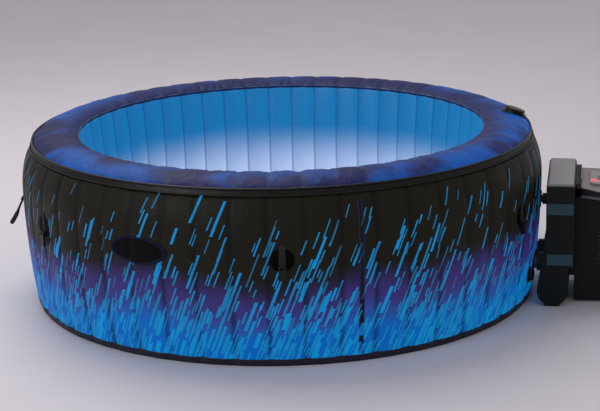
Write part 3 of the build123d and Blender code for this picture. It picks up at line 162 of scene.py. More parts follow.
def turned_solid(name, profile, sides, matrix, ribs=0, rib_depth=0.0, rib_from=0, rib_to=0):
    """Solid turned about its own Z from a profile of radius and height that starts and ends on the axis."""
    points = []
    faces = []
    inner = profile[1:-1]
    for step in range(sides):
        angle = 2 * pi * step / sides
        for index, (radius, height) in enumerate(inner):
            grip = rib_depth * max(0, cos(angle * ribs)) ** 2 if rib_from <= index < rib_to else 0
            points.append(polar(angle, radius - grip, height))
    bottom = len(points)
    points += [(0, 0, profile[0][1]), (0, 0, profile[-1][1])]
    rows = len(inner)
    for step in range(sides):
        here = step * rows
        there = (step + 1) % sides * rows
        for index in range(rows - 1):
            faces.append((here + index, there + index, there + index + 1, here + index + 1))
        faces.append((bottom, there, here))
        faces.append((bottom + 1, here + rows - 1, there + rows - 1))
    made = make_object(name, points, faces)
    made.data.transform(matrix)
    made.data.update()
    return made


def arc_radius(offset, curve):
    """How far a circular arc falls back at an offset from its widest place."""
    return curve - sqrt(max(curve**2 - offset**2, 0))


def curve_through(rise, run):
    """Radius of the arc that falls back by rise over run."""
    return (rise**2 + run**2) / (2 * rise)


LOWER_CURVE = curve_through(WIDE_RADIUS - BASE_RADIUS, BELLY_HEIGHT - SHEET_TOP)
UPPER_CURVE = curve_through(WIDE_RADIUS - SEAM_RADIUS, SEAM_HEIGHT - BELLY_HEIGHT)
LINER_HALF = (LINER_TOP - SHEET_TOP) / 2
LINER_CURVE = curve_through(LINER_BULGE, LINER_HALF)


def wall_radius(height):
    curve = LOWER_CURVE if height < BELLY_HEIGHT else UPPER_CURVE
    return WIDE_RADIUS - arc_radius(height - BELLY_HEIGHT, curve)


def liner_radius(height):
    return RIM_INNER_RADIUS - LINER_BULGE + arc_radius(height - SHEET_TOP - LINER_HALF, LINER_CURVE)


def rim_height(radius):
    return RIM_TOP - arc_radius(radius - CREST_RADIUS, CREST_CURVE)


def web_distance(angle):
    """Angle from the nearest web, in steps of the web pitch: 0 on a web, 0.5 midway."""
    place = (angle / PITCH - 0.5) % 1
    return min(place, 1 - place)


def creases(angle, radius, depth, width, swell):
    """Pull-in at each web and the soft swelling between webs."""
    off = web_distance(angle)
    crease = depth * exp(-((off * PITCH * radius / width) ** 2))
    return swell * sin(pi * off) - crease


def ripple(angle, height, around, along, seed):
    """Seamless noise round the tub, from -1 to 1."""
    return noise.noise(Vector((cos(angle) * around, sin(angle) * around, height * along + seed)))


LATCH_PITCH = radians(60)
LATCH_SHIFT = radians(170)  # brings each latch to the middle of its pitch
PIPES_HALF = radians(8)


def calm(angle):
    """Flattens the swell where the latches, and the pipes on the +X side, hold the wall."""
    latch = abs((angle + LATCH_SHIFT) % LATCH_PITCH - LATCH_PITCH / 2)
    by_latch = min(1, max(0, latch / radians(4) - 0.6))
    around = (angle + pi) % (2 * pi) - pi
    by_pipes = min(1, max(0, (abs(around) - PIPES_HALF) / radians(6)))
    return 0.25 + 0.75 * by_latch, by_pipes


def wall_surface(angle, height):
    """Outer wall with its panels, the puckers over the base hem and under the rim seam."""
    by_latch, by_pipes = calm(angle)
    low = exp(-((height - SHEET_TOP) / HEM_REACH))
    high = exp(-((SEAM_HEIGHT - height) / SEAM_REACH))
    ends = min(1, (height - SHEET_TOP) / EDGE_FADE, (SEAM_HEIGHT - height) / EDGE_FADE)
    depth = WALL_CREASE + HEM_CREASE * low
    width = WALL_CREASE_WIDTH + HEM_CREASE_WIDTH * low
    push = creases(angle, WIDE_RADIUS, depth, width, WALL_SWELL * by_latch) * max(0.25, ends)
    push += HEM_RIPPLE * low * ripple(angle, height, *HEM_WAVES)
    push += SEAM_RIPPLE * high * ripple(angle, height, *SEAM_WAVES)
    push += WALL_RIPPLE * ripple(angle, height, *WALL_WAVES)
    return wall_radius(height) + push * by_pipes


def rim_surface(angle, radius):
    """Rim's upper side with radial puckers that start at its inner edge."""
    inward = exp(-(radius - RIM_INNER_RADIUS) / FOLD_REACH)
    outward = exp(-(PIPING_RADIUS - radius) / BRIM_REACH)
    edge = min(1, (PIPING_RADIUS - radius) / BRIM_FADE, (radius - RIM_INNER_RADIUS) / LIP_FADE)
    push = creases(angle, radius, RIM_CREASE + LIP_CREASE * inward, RIM_CREASE_WIDTH, RIM_SWELL)
    folds = abs(ripple(angle + 0.3 * radius, radius, *FOLD_WAVES))
    folds += 0.5 * abs(ripple(angle - 0.4 * radius, radius, *FINE_FOLD_WAVES))
    push += (RIM_FOLD + LIP_FOLD * inward) * (0.3 - folds)
    push += BRIM_RIPPLE * outward * ripple(angle, radius, *BRIM_WAVES)
    return rim_height(radius) - RIM_SINK + push * max(0, edge)


def liner_surface(angle, height):
    """Inner wall swelling into the basin between its webs."""
    low = exp(-((height - SHEET_TOP) / LINER_REACH))
    ends = min(1, (LINER_TOP - height) / LINER_FADE)
    push = creases(angle, RIM_INNER_RADIUS, LINER_CREASE, LINER_CREASE_WIDTH, LINER_SWELL)
    push *= max(0.2, ends)
    push += LINER_RIPPLE * low * ripple(angle, height, *LINER_WAVES)
    return liner_radius(height) - push


# ---- shader expressions ----
def feed(tree, slot, item):
    """Puts a number, a colour or a link into a socket."""
    if isinstance(item, Value):
        tree.links.new(item.socket, slot)
    elif item is not None:
        slot.default_value = item


class Value:
    """A socket that Python's operators work on; each operator adds one Math node."""

    def __init__(self, tree, socket):
        self.tree = tree
        self.socket = socket

    def math(self, operation, *terms):
        node = self.tree.nodes.new("ShaderNodeMath")
        node.operation = operation
        for slot, term in zip(node.inputs, terms):
            feed(self.tree, slot, term)
        return Value(self.tree, node.outputs[0])

    def __add__(self, other):
        return self.math("ADD", self, other)

    def __radd__(self, other):
        return self.math("ADD", other, self)

    def __sub__(self, other):
        return self.math("SUBTRACT", self, other)

    def __rsub__(self, other):
        return self.math("SUBTRACT", other, self)

    def __mul__(self, other):
        return self.math("MULTIPLY", self, other)

    def __rmul__(self, other):
        return self.math("MULTIPLY", other, self)

    def __truediv__(self, other):
        return self.math("DIVIDE", self, other)

    def __mod__(self, other):
        return self.math("FLOORED_MODULO", self, other)

    def __pow__(self, other):
        return self.math("POWER", self, other)

    def __gt__(self, other):
        return self.math("GREATER_THAN", self, other)

    def __lt__(self, other):
        return self.math("LESS_THAN", self, other)

    def __abs__(self):
        return self.math("ABSOLUTE", self)

    def floor(self):
        return self.math("FLOOR", self)

    def sine(self):
        return self.math("SINE", self)

    def cosine(self):
        return self.math("COSINE", self)

    def most(self, other):
        return self.math("MAXIMUM", self, other)

    def least(self, other):
        return self.math("MINIMUM", self, other)


class Finish:
    """One material, with short ways to add nodes to it."""

    def __init__(self, name, **constants):
        self.material = bpy.data.materials.new(name)
        self.material.use_nodes = True
        self.tree = self.material.node_tree
        self.shader = self.tree.nodes["Principled BSDF"]
        for socket, value in constants.items():
            self.shader.inputs[socket.replace("_", " ")].default_value = value
        self.place = self.node("ShaderNodeTexCoord", output="Object")
        split = self.tree.nodes.new("ShaderNodeSeparateXYZ")
        self.tree.links.new(self.place.socket, split.inputs[0])
        self.x, self.y, self.z = (Value(self.tree, socket) for socket in split.outputs)

    def node(self, kind, settings=None, inputs=None, output=0):
        node = self.tree.nodes.new(kind)
        for name, value in (settings or {}).items():
            setattr(node, name, value)
        for name, value in (inputs or {}).items():
            feed(self.tree, node.inputs[name], value)
        return Value(self.tree, node.outputs[output])

    def turn(self):
        return self.y.math("ARCTAN2", self.y, self.x)

    def radius(self):
        return (self.x**2 + self.y**2) ** 0.5

    def vector(self, x, y, z):
        return self.node("ShaderNodeCombineXYZ", inputs={"X": x, "Y": y, "Z": z})

    def parts(self, item):
        """The three numbers of a vector or colour."""
        split = self.tree.nodes.new("ShaderNodeSeparateXYZ")
        self.tree.links.new(item.socket, split.inputs[0])
        return [Value(self.tree, socket) for socket in split.outputs]

    def noise(self, scale, detail=3, where=None):
        inputs = {"Vector": where or self.place, "Scale": scale, "Detail": detail}
        return self.node("ShaderNodeTexNoise", inputs=inputs)

    def smooth(self, value, low, high):
        inputs = {"Value": value, "From Min": low, "From Max": high}
        return self.node("ShaderNodeMapRange", {"interpolation_type": "SMOOTHSTEP"}, inputs)

    def mix(self, factor, first, second):
        inputs = {0: factor, 6: colour(first), 7: colour(second)}
        return self.node("ShaderNodeMix", {"data_type": "RGBA"}, inputs, 2)

    def set(self, socket, value):
        feed(self.tree, self.shader.inputs[socket], value)

    def bump(self, height, distance, strength=1.0):
        inputs = {"Height": height, "Distance": distance, "Strength": strength}
        self.set("Normal", self.node("ShaderNodeBump", inputs=inputs))


def colour(item):
    """A colour given as three display values from 0 to 255, in the shader's own scale."""
    if isinstance(item, Value):
        return item
    channels = [value / 255 for value in item]
    linear = [c / 12.92 if c <= 0.04045 else ((c + 0.055) / 1.055) ** 2.4 for c in channels]
    return (*linear, 1)


# ---- camera, lights and floor ----
TUB = "tub"
CAMERA_PLACE = (1.293, -6.934, 2.229)
CAMERA_AIM = (-0.1677, 0.9511, -0.2594)
CAMERA_ROLL = 0.02447
LENS = 103.54


def set_camera():
    camera = bpy.data.objects.new("camera", bpy.data.cameras.new("camera"))
    bpy.context.scene.collection.objects.link(camera)
    camera.data.lens = LENS
    camera.location = CAMERA_PLACE
    camera.rotation_mode = "QUATERNION"
    aim = Vector(CAMERA_AIM).to_track_quat("-Z", "Y")
    camera.rotation_quaternion = aim @ Euler((0, 0, -CAMERA_ROLL)).to_quaternion()
    bpy.context.scene.camera = camera


def add_softbox(name, place, size, power, tint):
    light = bpy.data.lights.new(name, "AREA")
    light.shape = "DISK"
    light.size = size
    light.energy = power
    light.color = tint
    lamp = bpy.data.objects.new(name, light)
    lamp.location = place
    lamp.rotation_euler = (Vector((0, 0, 0.3)) - Vector(place)).to_track_quat("-Z", "Y").to_euler()
    bpy.context.scene.collection.objects.link(lamp)


def set_studio():
    world = bpy.data.worlds.new("studio")
    world.use_nodes = True
    background = world.node_tree.nodes["Background"]
    background.inputs["Color"].default_value = (0.80, 0.78, 0.80, 1)
    background.inputs["Strength"].default_value = 0.62
    bpy.context.scene.world = world
    bpy.context.scene.view_settings.view_transform = "Standard"
    add_softbox("top_softbox", (-1.5, 1.5, 5.0), 4.0, 160, (1, 0.97, 0.95))
    add_softbox("front_softbox", (-3.5, -5.0, 3.0), 3.0, 90, (0.85, 0.92, 1))
    far = 30
    corners = [(-far, -far, 0), (far, -far, 0), (far, far, 0), (-far, far, 0)]
    floor = make_object("floor", corners, [(0, 1, 2, 3)], False)
    floor.data.transform(Matrix.Translation((0, 0, -0.0005)))
    finish = Finish("pale_floor", Roughness=0.55)
    finish.set("Base Color", finish.mix(finish.noise(2.5), (206, 201, 208), (214, 209, 215)))
    floor.data.materials.append(finish.material)


# ---- finishes ----
SLANT = radians(22)  # lean of the printed streaks
STREAK_SIZES = ((0.0115, 0.080, 1), (0.015, 0.115, 2), (0.020, 0.160, 3))  # width, length, seed
FINE_GRAIN = 0.00004
BADGE_HALF_LENGTH = 0.125
BADGE_HALF_WIDTH = 0.0525
CASING_DARK, CASING_LIGHT = (3, 12, 14), (8, 19, 22)
BLACK = (0, 0, 0)


def web_line(finish, width):
    """1 on each web's line, fading to 0 at a share of the pitch away."""
    place = (finish.turn() / PITCH - 0.5) % 1
    return finish.smooth(place.least(1 - place), width, 0.0)


def vinyl_relief(finish, wrinkle, fine=FINE_GRAIN):
    """Fine calendered grain with soft wrinkles."""
    grain = finish.noise(1400, 2) * fine
    folds = finish.noise(38, 4) * wrinkle
    finish.bump(grain + folds, 1.0)


def dash_layer(finish, width, length, seed):
    """Slanted dashes in a grid of cells: what is inside a dash, and a tone for each."""
    columns = round(2 * pi * WIDE_RADIUS / width)
    width = 2 * pi * WIDE_RADIUS / columns
    rise = length * cos(SLANT)
    across = (finish.turn() * WIDE_RADIUS - finish.z * tan(SLANT)) / width
    column = across.floor()
    name = column % columns
    place = {"Vector": finish.vector(name, seed, 0)}
    start = finish.node("ShaderNodeTexWhiteNoise", {"noise_dimensions": "2D"}, place)
    down = finish.z / rise + start
    row = down.floor()
    cell = {"Vector": finish.vector(name, row, seed)}
    spread = finish.node("ShaderNodeTexWhiteNoise", {"noise_dimensions": "3D"}, cell, 1)
    chance, wide, long = finish.parts(spread)
    height = (row + 0.5 - start) * rise
    angle = ((name + 0.5) * width + height * tan(SLANT)) / WIDE_RADIUS
    ring = finish.vector(angle.cosine(), angle.sine(), seed)
    level = height - (finish.noise(4.5, 2, ring) - 0.5) * 0.95
    share = 0.085 + finish.smooth(level, 0.46, 0.20) * 0.22 + finish.smooth(level, 0.22, 0.0) * 0.38
    share = share * finish.smooth(height, 0.63, 0.56)
    slim = finish.smooth(height, 0.12, 0.46)
    inside = abs(across - column - 0.5) < 0.14 + wide * (0.28 - slim * 0.14)
    inside = inside * (abs(down - row - 0.5) < 0.2 + long * 0.27)
    return inside * (chance < share), wide


def streak_print(finish):
    """Three sizes of streak laid over each other, with a tone for each streak."""
    streaks = None
    for width, length, seed in STREAK_SIZES:
        inside, tone = dash_layer(finish, width, length, seed)
        streaks = inside if streaks is None else streaks.most(inside)
    return streaks, tone.most(finish.smooth(finish.z, 0.34, 0.16) * 0.7)


def printed_wall():
    """Olive black wall that turns violet and blue towards the hem, under pale blue streaks; it gives out a
    painted glow that turns blue towards the hem, is brighter on the streaks and dims at the web lines.
    """
    finish = Finish("printed_wall_vinyl", Specular_IOR_Level=0.15, Emission_Strength=1.0)
    height = finish.z + (finish.noise(3.5, 3) - 0.5) * 0.22
    violet = finish.smooth(height, 0.38, 0.24)
    deep = finish.smooth(height, 0.25, 0.10)
    ground = finish.mix(violet, (14, 12, 6), (38, 32, 72))
    ground = finish.mix(deep, ground, (2, 56, 116))
    lines = web_line(finish, 0.16)
    ground = finish.mix(lines * 0.55, ground, (10, 10, 16))
    streaks, tone = streak_print(finish)
    dash = finish.mix(tone, (16, 54, 74), (2, 80, 122))
    finish.set("Base Color", finish.mix(streaks, ground, dash))
    # painted glow: the wall gives out light of its own, blue towards the hem and dimmed to black at the web
    # lines
    glow = finish.mix(deep, finish.mix(violet, (14, 12, 5), (40, 34, 90)), (0, 80, 152))
    glow = finish.mix(lines * 0.6, glow, BLACK)
    # painted glow on the streaks, a brighter blue where their tone is higher
    lit = finish.mix(tone, (24, 80, 108), (0, 120, 178))
    finish.set("Emission Color", finish.mix(streaks * (1 - lines * 0.35), glow, lit))
    finish.set("Roughness", 0.42 + finish.noise(30, 3) * 0.16)
    vinyl_relief(finish, 0.0022)
    return finish.material


def rim_vinyl():
    """Navy rim with a faint painted glow all over, and painted blue highlights in patches towards its outer
    edge.
    """
    finish = Finish("rim_vinyl", Specular_IOR_Level=0.16, Emission_Strength=1.0)
    radius = finish.radius()
    patches = finish.smooth(finish.noise(4.0, 3), 0.40, 0.62)
    outer = finish.smooth(radius, 0.84, 0.98)
    tone = finish.mix(finish.noise(14, 3), (6, 8, 36), (14, 15, 52))
    # painted highlights: blue patches towards the outer edge, in both the base colour and the glow
    painted_highlight = patches * outer
    ground = finish.mix(painted_highlight, tone, (0, 36, 84))
    inner_edge = finish.smooth(radius, RIM_INNER_RADIUS + 0.035, RIM_INNER_RADIUS)
    ground = finish.mix(inner_edge * 0.5, ground, (18, 22, 46))
    finish.set("Base Color", finish.mix(web_line(finish, 0.1) * 0.5, ground, (12, 12, 20)))
    # painted glow: the whole rim gives out navy light, a brighter blue in the highlight patches
    finish.set("Emission Color", finish.mix(painted_highlight, (15, 17, 62), (0, 66, 140)))
    finish.set("Roughness", 0.44 + finish.noise(24, 3) * 0.18)
    vinyl_relief(finish, 0.003)
    return finish.material


def dark_vinyl(name, low, high, rough=0.42, gloss=0.35):
    finish = Finish(name, Specular_IOR_Level=gloss)
    finish.set("Base Color", finish.mix(finish.noise(18, 4), low, high))
    finish.set("Roughness", rough + finish.noise(60, 3) * 0.15)
    vinyl_relief(finish, 0.0012)
    return finish.material


def badge_vinyl(middle):
    """Black badge with a navy border along its oval edge; the border gives out a faint painted glow."""
    finish = Finish("badge_vinyl", Specular_IOR_Level=0.08, Roughness=0.4, Emission_Strength=1.0)
    side = (finish.turn() - bearing_of(middle)) * (WIDE_RADIUS / BADGE_HALF_LENGTH)
    up = (finish.z - middle.z) / BADGE_HALF_WIDTH
    edge = finish.smooth(side**2 + up**2, 0.72, 0.78)
    finish.set("Base Color", finish.mix(edge, (2, 2, 3), (7, 11, 30)))
    # painted glow along the navy border
    finish.set("Emission Color", finish.mix(edge, BLACK, (4, 8, 26)))
    vinyl_relief(finish, 0.0006, 0.00003)
    return finish.material


def strip_vinyl(bearing):
    """Black seam strip with navy edges, overprinted in places; its edges and print give out a painted glow.
    """
    finish = Finish("seam_strip_vinyl", Specular_IOR_Level=0.25, Roughness=0.4, Emission_Strength=1.0)
    side = abs(finish.turn() - bearing) * WIDE_RADIUS
    edge = finish.smooth(side, 0.0055, 0.0085)
    streaks, tone = streak_print(finish)
    print_share = streaks * (0.35 + finish.smooth(finish.z, 0.40, 0.10) * 0.5)
    ground = finish.mix(edge, (3, 3, 5), (14, 20, 52))
    dash = finish.mix(tone, (12, 44, 70), (4, 70, 116))
    finish.set("Base Color", finish.mix(print_share, ground, dash))
    # painted glow on the navy edges and, brighter, on the print
    glow = finish.mix(edge, BLACK, (10, 18, 52))
    finish.set("Emission Color", finish.mix(print_share, glow, (0, 92, 150)))
    vinyl_relief(finish, 0.0012)
    return finish.material


def lit_liner():
    """Basin wall that gives out a painted glow, blue at the top and near white below, with painted shade
    across each panel.
    """
    finish = Finish("lit_liner_vinyl", Roughness=0.4, Emission_Strength=1.0)
    high = finish.smooth(finish.z + (finish.noise(3, 2) - 0.5) * 0.05, 0.27, 0.52)
    # painted glow: the basin wall gives out light, blue at the top and pale towards the bottom
    glow = finish.mix(high, (176, 192, 228), (0, 108, 166))
    glow = finish.mix(finish.smooth(finish.z, 0.30, 0.02), glow, (120, 170, 232))
    # painted shade: each panel's glow darkens from one edge to the other, as light falls across its curve
    panel_shade_ramp = (finish.turn() / PITCH - 0.5) % 1
    glow = finish.mix(panel_shade_ramp * 0.30, glow, (0, 66, 120))
    lines = web_line(finish, 0.07)
    glow = finish.mix(lines * 0.55, glow, (0, 50, 96))
    finish.set("Emission Color", glow)
    finish.set("Base Color", finish.mix(high, (84, 92, 108), (0, 44, 76)))
    finish.set("Roughness", 0.38 + finish.noise(26, 3) * 0.15)
    vinyl_relief(finish, 0.0022)
    return finish.material


def lit_floor():
    """Basin floor with an uneven pale blue glow."""
    finish = Finish("lit_floor_vinyl", Emission_Strength=1.0)
    patch = finish.noise(2.2, 3)
    finish.set("Emission Color", finish.mix(patch, (92, 150, 220), (150, 190, 238)))
    finish.set("Base Color", finish.mix(patch, (70, 96, 130), (96, 118, 150)))
    finish.set("Roughness", 0.4 + finish.noise(30, 3) * 0.15)
    vinyl_relief(finish, 0.003)
    return finish.material


def weave(name, tone, light, pitch=0.0022):
    """Woven webbing: ribs across two directions, with painted highlights on the raised threads and painted
    shade in the dips.
    """
    finish = Finish(name)
    count = 2 * pi / pitch
    across = (finish.turn() * (WIDE_RADIUS * count)).sine()
    up = (finish.z * count).sine()
    threads = across * up
    # painted highlight and shade: raised threads lighter, dips darker, following the bump
    finish.set("Base Color", finish.mix(finish.smooth(threads, -1.0, 1.0), tone, light))
    finish.set("Roughness", 0.75 + finish.noise(200, 2) * 0.15)
    finish.bump(threads, 0.00035)
    return finish.material


def moulded(name, low, high, rough=0.42, grain=0.00003, metal=0.0, glow=None, gloss=0.5):
    """Moulded plastic or plain metal with a fine spark texture and slight unevenness; glow, when given, is
    a painted glow.
    """
    finish = Finish(name, Metallic=metal, Emission_Strength=1.0 if glow else 0.0, Specular_IOR_Level=gloss)
    finish.set("Base Color", finish.mix(finish.noise(9, 4), low, high))
    finish.set("Roughness", rough + finish.noise(40, 3) * 0.12)
    if glow:
        finish.set("Emission Color", colour(glow))
    finish.bump(finish.noise(1600, 2) * grain + finish.noise(12, 2) * 0.0004, 1.0)
    return finish.material


def hood_moulding():
    """Dark hood whose upper face is a warm grey."""
    finish = Finish("hood_moulding", Specular_IOR_Level=0.3)
    facing = finish.parts(finish.node("ShaderNodeNewGeometry", output="Normal"))[2]
    upper = finish.smooth(facing, 0.55, 0.80)
    speckle = finish.noise(11, 4)
    grey = finish.mix(speckle, (104, 97, 99), (126, 118, 120))
    lip_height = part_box("control_hood")[0].z
    lip = finish.smooth(finish.z, lip_height + 0.013, lip_height + 0.009)
    sides = finish.mix(lip, finish.mix(speckle, CASING_DARK, CASING_LIGHT), (92, 88, 92))
    finish.set("Base Color", finish.mix(upper, sides, grey))
    finish.set("Roughness", 0.42 + finish.noise(40, 3) * 0.12)
    finish.bump(finish.noise(1600, 2), 0.00005)
    return finish.material


def red_lamp():
    finish = Finish("red_lamp", Roughness=0.2, Emission_Strength=2.2)
    finish.set("Base Color", finish.mix(finish.noise(90), (190, 20, 24), (220, 50, 50)))
    finish.set("Emission Color", finish.mix(finish.noise(60), (230, 30, 34), (255, 70, 60)))
    return finish.material


def panel_face():
    """Brushed grey panel with a red glow round the lamp."""
    finish = Finish("panel_face", Roughness=0.35, Emission_Strength=1.0)
    low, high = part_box("indicator_light")
    middle = (low + high) / 2
    off = ((finish.x - middle.x) ** 2 + (finish.y - middle.y) ** 2) ** 0.5
    halo = finish.smooth(off, 0.035, 0.004)
    brushed = finish.noise(1.0, 2, finish.vector(finish.x * 30, finish.y * 900, finish.z * 30))
    finish.set("Base Color", finish.mix(brushed, (104, 100, 104), (134, 130, 134)))
    finish.set("Emission Color", finish.mix(halo, BLACK, (190, 44, 48)))
    finish.bump(brushed, 0.00005)
    return finish.material


# ---- pieces of the tub ----
def spaced(low, high, count, bend=1.0):
    return [low + (high - low) * (step / count) ** bend for step in range(count + 1)]


def settle(made, finish, body, slot, *nodes):
    made.data.materials.append(finish)
    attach(made, body)
    if nodes:
        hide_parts(*nodes)
    return made


def make_skins():
    heights = spaced(SHEET_TOP, SEAM_HEIGHT, 64, 1.35)
    outside = [(height, 0.0) for height in heights]
    inside = [(height, SKIN) for height in reversed(heights[::3])]

    def wall_place(angle, height, deep):
        return polar(angle, wall_surface(angle, height) - deep, height)

    wall = closed_turn("outer_wall_skin", outside + inside, TURNS, wall_place)
    settle(wall, printed_wall(), TUB, "wall_vinyl", "outer_wall")

    heights = spaced(SHEET_TOP, LINER_TOP, 44)
    inside = [(height, 0.0) for height in reversed(heights)]
    outside = [(height, SKIN) for height in heights[::3]]

    def liner_place(angle, height, deep):
        return polar(angle, liner_surface(angle, height) + deep, height)

    liner = closed_turn("inner_wall_skin", outside + inside, TURNS, liner_place)
    settle(liner, lit_liner(), TUB, "liner_vinyl", "inner_wall")

    radii = spaced(RIM_INNER_RADIUS, PIPING_RADIUS, 46)
    top = [(radius, 0.0) for radius in reversed(radii)]
    turned_in = ((0.0032, 0.0025), (0.0036, 0.009), (0.0015, 0.010))
    lip = [(RIM_INNER_RADIUS - inward, drop) for inward, drop in turned_in]
    under = [(radius, SKIN + 0.0015) for radius in radii[::3]]

    def rim_place(angle, radius, drop):
        return polar(angle, radius, rim_surface(angle, radius) - drop)

    rim = closed_turn("rim_cover", top + lip + under, TURNS, rim_place)
    settle(rim, rim_vinyl(), TUB, "rim_vinyl", "top_rim")


def band_radius(height):
    share = (height - SEAM_HEIGHT) / (PIPING_HEIGHT - SEAM_HEIGHT)
    return SEAM_RADIUS + (PIPING_RADIUS - SEAM_RADIUS) * share


def make_ring(name, radius, height, thick, around=10, sway=0.0):
    """Round cord laid in a circle."""
    section = [(thick * cos(2 * pi * k / around), thick * sin(2 * pi * k / around)) for k in range(around)]

    def place(angle, out, up):
        shift = sway * ripple(angle, 0, *BEAD_WAVES)
        return polar(angle, radius + out, height + up + shift)

    return closed_turn(name, section, TURNS, place)


def make_edges():
    trim = dark_vinyl("edge_vinyl", (7, 7, 9), (18, 17, 20), 0.3)
    heights = spaced(SEAM_HEIGHT, PIPING_HEIGHT, 6)
    outline = [(height, 0.0) for height in heights] + [(height, SKIN) for height in reversed(heights)]

    def band_place(angle, height, deep):
        swell = 0.0008 * sin(pi * (height - SEAM_HEIGHT) / (PIPING_HEIGHT - SEAM_HEIGHT))
        uneven = 1 + ripple(angle, height, *BAND_WAVES)
        return polar(angle, band_radius(height) - deep + swell * uneven, height)

    band = closed_turn("rim_seam_band_skin", outline, TURNS, band_place)
    band_vinyl = dark_vinyl("seam_band_vinyl", (6, 5, 5), (20, 17, 17), 0.34, 0.24)
    settle(band, band_vinyl, TUB, "rim_vinyl", "rim_seam_band")
    upper = make_ring("rim_piping_upper", PIPING_RADIUS + 0.0042, PIPING_HEIGHT + 0.001, 0.004)
    settle(upper, trim, TUB, "piping_vinyl", "rim_piping")
    lower = make_ring("rim_piping_lower", SEAM_RADIUS + 0.0024, SEAM_HEIGHT + 0.0011, 0.0025)
    settle(lower, trim, TUB, "piping_vinyl", "rim_piping")
    bead_height = rim_height(RIM_INNER_RADIUS) - 0.005
    bead = make_ring("rim_inner_bead", RIM_INNER_RADIUS - 0.0025, bead_height, 0.0028, 8, 0.0012)
    settle(bead, dark_vinyl("inner_bead_vinyl", (12, 30, 60), (20, 44, 84)), TUB, "rim_vinyl")

    hem_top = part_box("base_hem_band")[1].z
    heights = spaced(SHEET_TOP, hem_top, 8)
    outline = [(height, 0.0018) for height in heights] + [(height, 0.0003) for height in reversed(heights)]

    def hem_place(angle, height, off):
        return polar(angle, wall_surface(angle, height) + off, height)

    hem = closed_turn("base_hem", outline, TURNS, hem_place)
    settle(hem, dark_vinyl("hem_vinyl", (10, 12, 26), (24, 26, 46)), TUB, "base_vinyl", "base_hem_band")


def make_floors():
    edge = 0.002  # rounding of the ground sheet's edge
    radius = BASE_RADIUS - edge
    profile = [(0, 0), (radius * 0.5, 0), (radius, 0), (radius + edge, SHEET_TOP / 2)]
    profile += [(radius, SHEET_TOP), (0, SHEET_TOP)]
    sheet = turned_solid("ground_sheet_skin", profile, 360, Matrix())
    sheet_vinyl = dark_vinyl("ground_sheet_vinyl", (16, 18, 28), (30, 32, 44))
    settle(sheet, sheet_vinyl, TUB, "base_vinyl", "ground_sheet")
    reach_in = reach("floor_liner")
    bottom = SHEET_TOP + 0.0004
    rings, groove = 6, 0.0015
    top = [(reach_in, bottom), (reach_in, FLOOR_TOP)]
    for step in range(rings, 0, -1):
        ring = reach_in * step / (rings + 0.5)
        top += [(ring + 0.006, FLOOR_TOP), (ring + 0.002, FLOOR_TOP - groove)]
        top += [(ring - 0.002, FLOOR_TOP - groove), (ring - 0.006, FLOOR_TOP)]
    profile = [(0, bottom), *top, (0, FLOOR_TOP)]
    floor = turned_solid("floor_liner_skin", profile, 360, Matrix())
    settle(floor, lit_floor(), TUB, "liner_vinyl", "floor_liner")
    low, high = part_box("bubble_ring")
    thick = (high.z - low.z) / 2
    ring = make_ring("bubble_channel", high.y - thick, (low.z + high.z) / 2, thick - 0.0005, 18)
    channel_vinyl = dark_vinyl("bubble_channel_vinyl", (120, 150, 190), (150, 176, 208))
    settle(ring, channel_vinyl, TUB, "liner_vinyl", "bubble_ring")


def make_webs():
    """The inner sheets that hold the two walls together, waved a little by the air."""
    points = []
    faces = []
    edge = SKIN + 0.001
    across, up = 10, 16
    for web in range(WEBS):
        angle = (web + 0.5) * PITCH
        first = len(points)
        for side in (-1, 1):
            for i in range(across + 1):
                share = i / across
                top_radius = RIM_INNER_RADIUS + edge + share * (PIPING_RADIUS - RIM_INNER_RADIUS - 2 * edge)
                top = rim_height(top_radius) - 0.012
                for j in range(up + 1):
                    height = SHEET_TOP + edge + (top - SHEET_TOP - edge) * j / up
                    inner = liner_surface(angle, min(height, LINER_TOP)) + edge
                    outside = wall_surface(angle, height) if height < SEAM_HEIGHT else band_radius(height)
                    outer = outside - edge - 0.001
                    radius = inner + share * (outer - inner)
                    wave = 0.003 * sin(pi * share) * sin(3 * pi * j / up) + side * 0.0006
                    points.append(polar(angle + wave / radius, radius, height))
        row = up + 1
        sheet = (across + 1) * row
        for i in range(across):
            for j in range(up):
                a = first + i * row + j
                faces.append((a, a + 1, a + row + 1, a + row))
                b = a + sheet
                faces.append((b, b + row, b + row + 1, b + 1))
        rim = [first + j for j in range(row)] + [first + i * row + up for i in range(1, across + 1)]
        rim += [first + across * row + j for j in range(up - 1, -1, -1)]
        rim += [first + i * row for i in range(across - 1, 0, -1)]
        for k, here in enumerate(rim):
            there = rim[(k + 1) % len(rim)]
            faces.append((here, here + sheet, there + sheet, there))
    webs = make_object("inner_webs", points, faces)
    settle(webs, dark_vinyl("web_vinyl", (120, 122, 128), (150, 152, 158)), TUB, "web_sheet", "wall_webs")


# ---- pieces laid on the wall ----
def on_wall(bearing, side, height, off):
    """Place on the wall at a distance along it from a bearing, raised by off."""
    angle = bearing + side / WIDE_RADIUS
    return polar(angle, wall_surface(angle, height) + off, height)


def laid_patch(name, bearing, height, outline, lifts):
    """Closed patch laid on the wall; lifts gives its thickness from the centre to the edge."""
    points = [on_wall(bearing, 0, height, lifts[0][1])]
    faces = []
    count = len(outline)
    for share, lift in lifts[1:]:
        points += [on_wall(bearing, side * share, height + up * share, lift) for side, up in outline]
    rings = len(lifts) - 1
    points += [on_wall(bearing, side, height + up, 0.0003) for side, up in outline]
    points += [on_wall(bearing, side * 0.5, height + up * 0.5, 0.0003) for side, up in outline]
    points.append(on_wall(bearing, 0, height, 0.0003))
    for k in range(count):
        after = (k + 1) % count
        faces.append((0, 1 + k, 1 + after))
        for ring in range(rings + 1):
            a = 1 + ring * count
            faces.append((a + k, a + count + k, a + count + after, a + after))
        last = 1 + (rings + 1) * count
        faces.append((last + k, len(points) - 1, last + after))
    return make_object(name, points, faces)


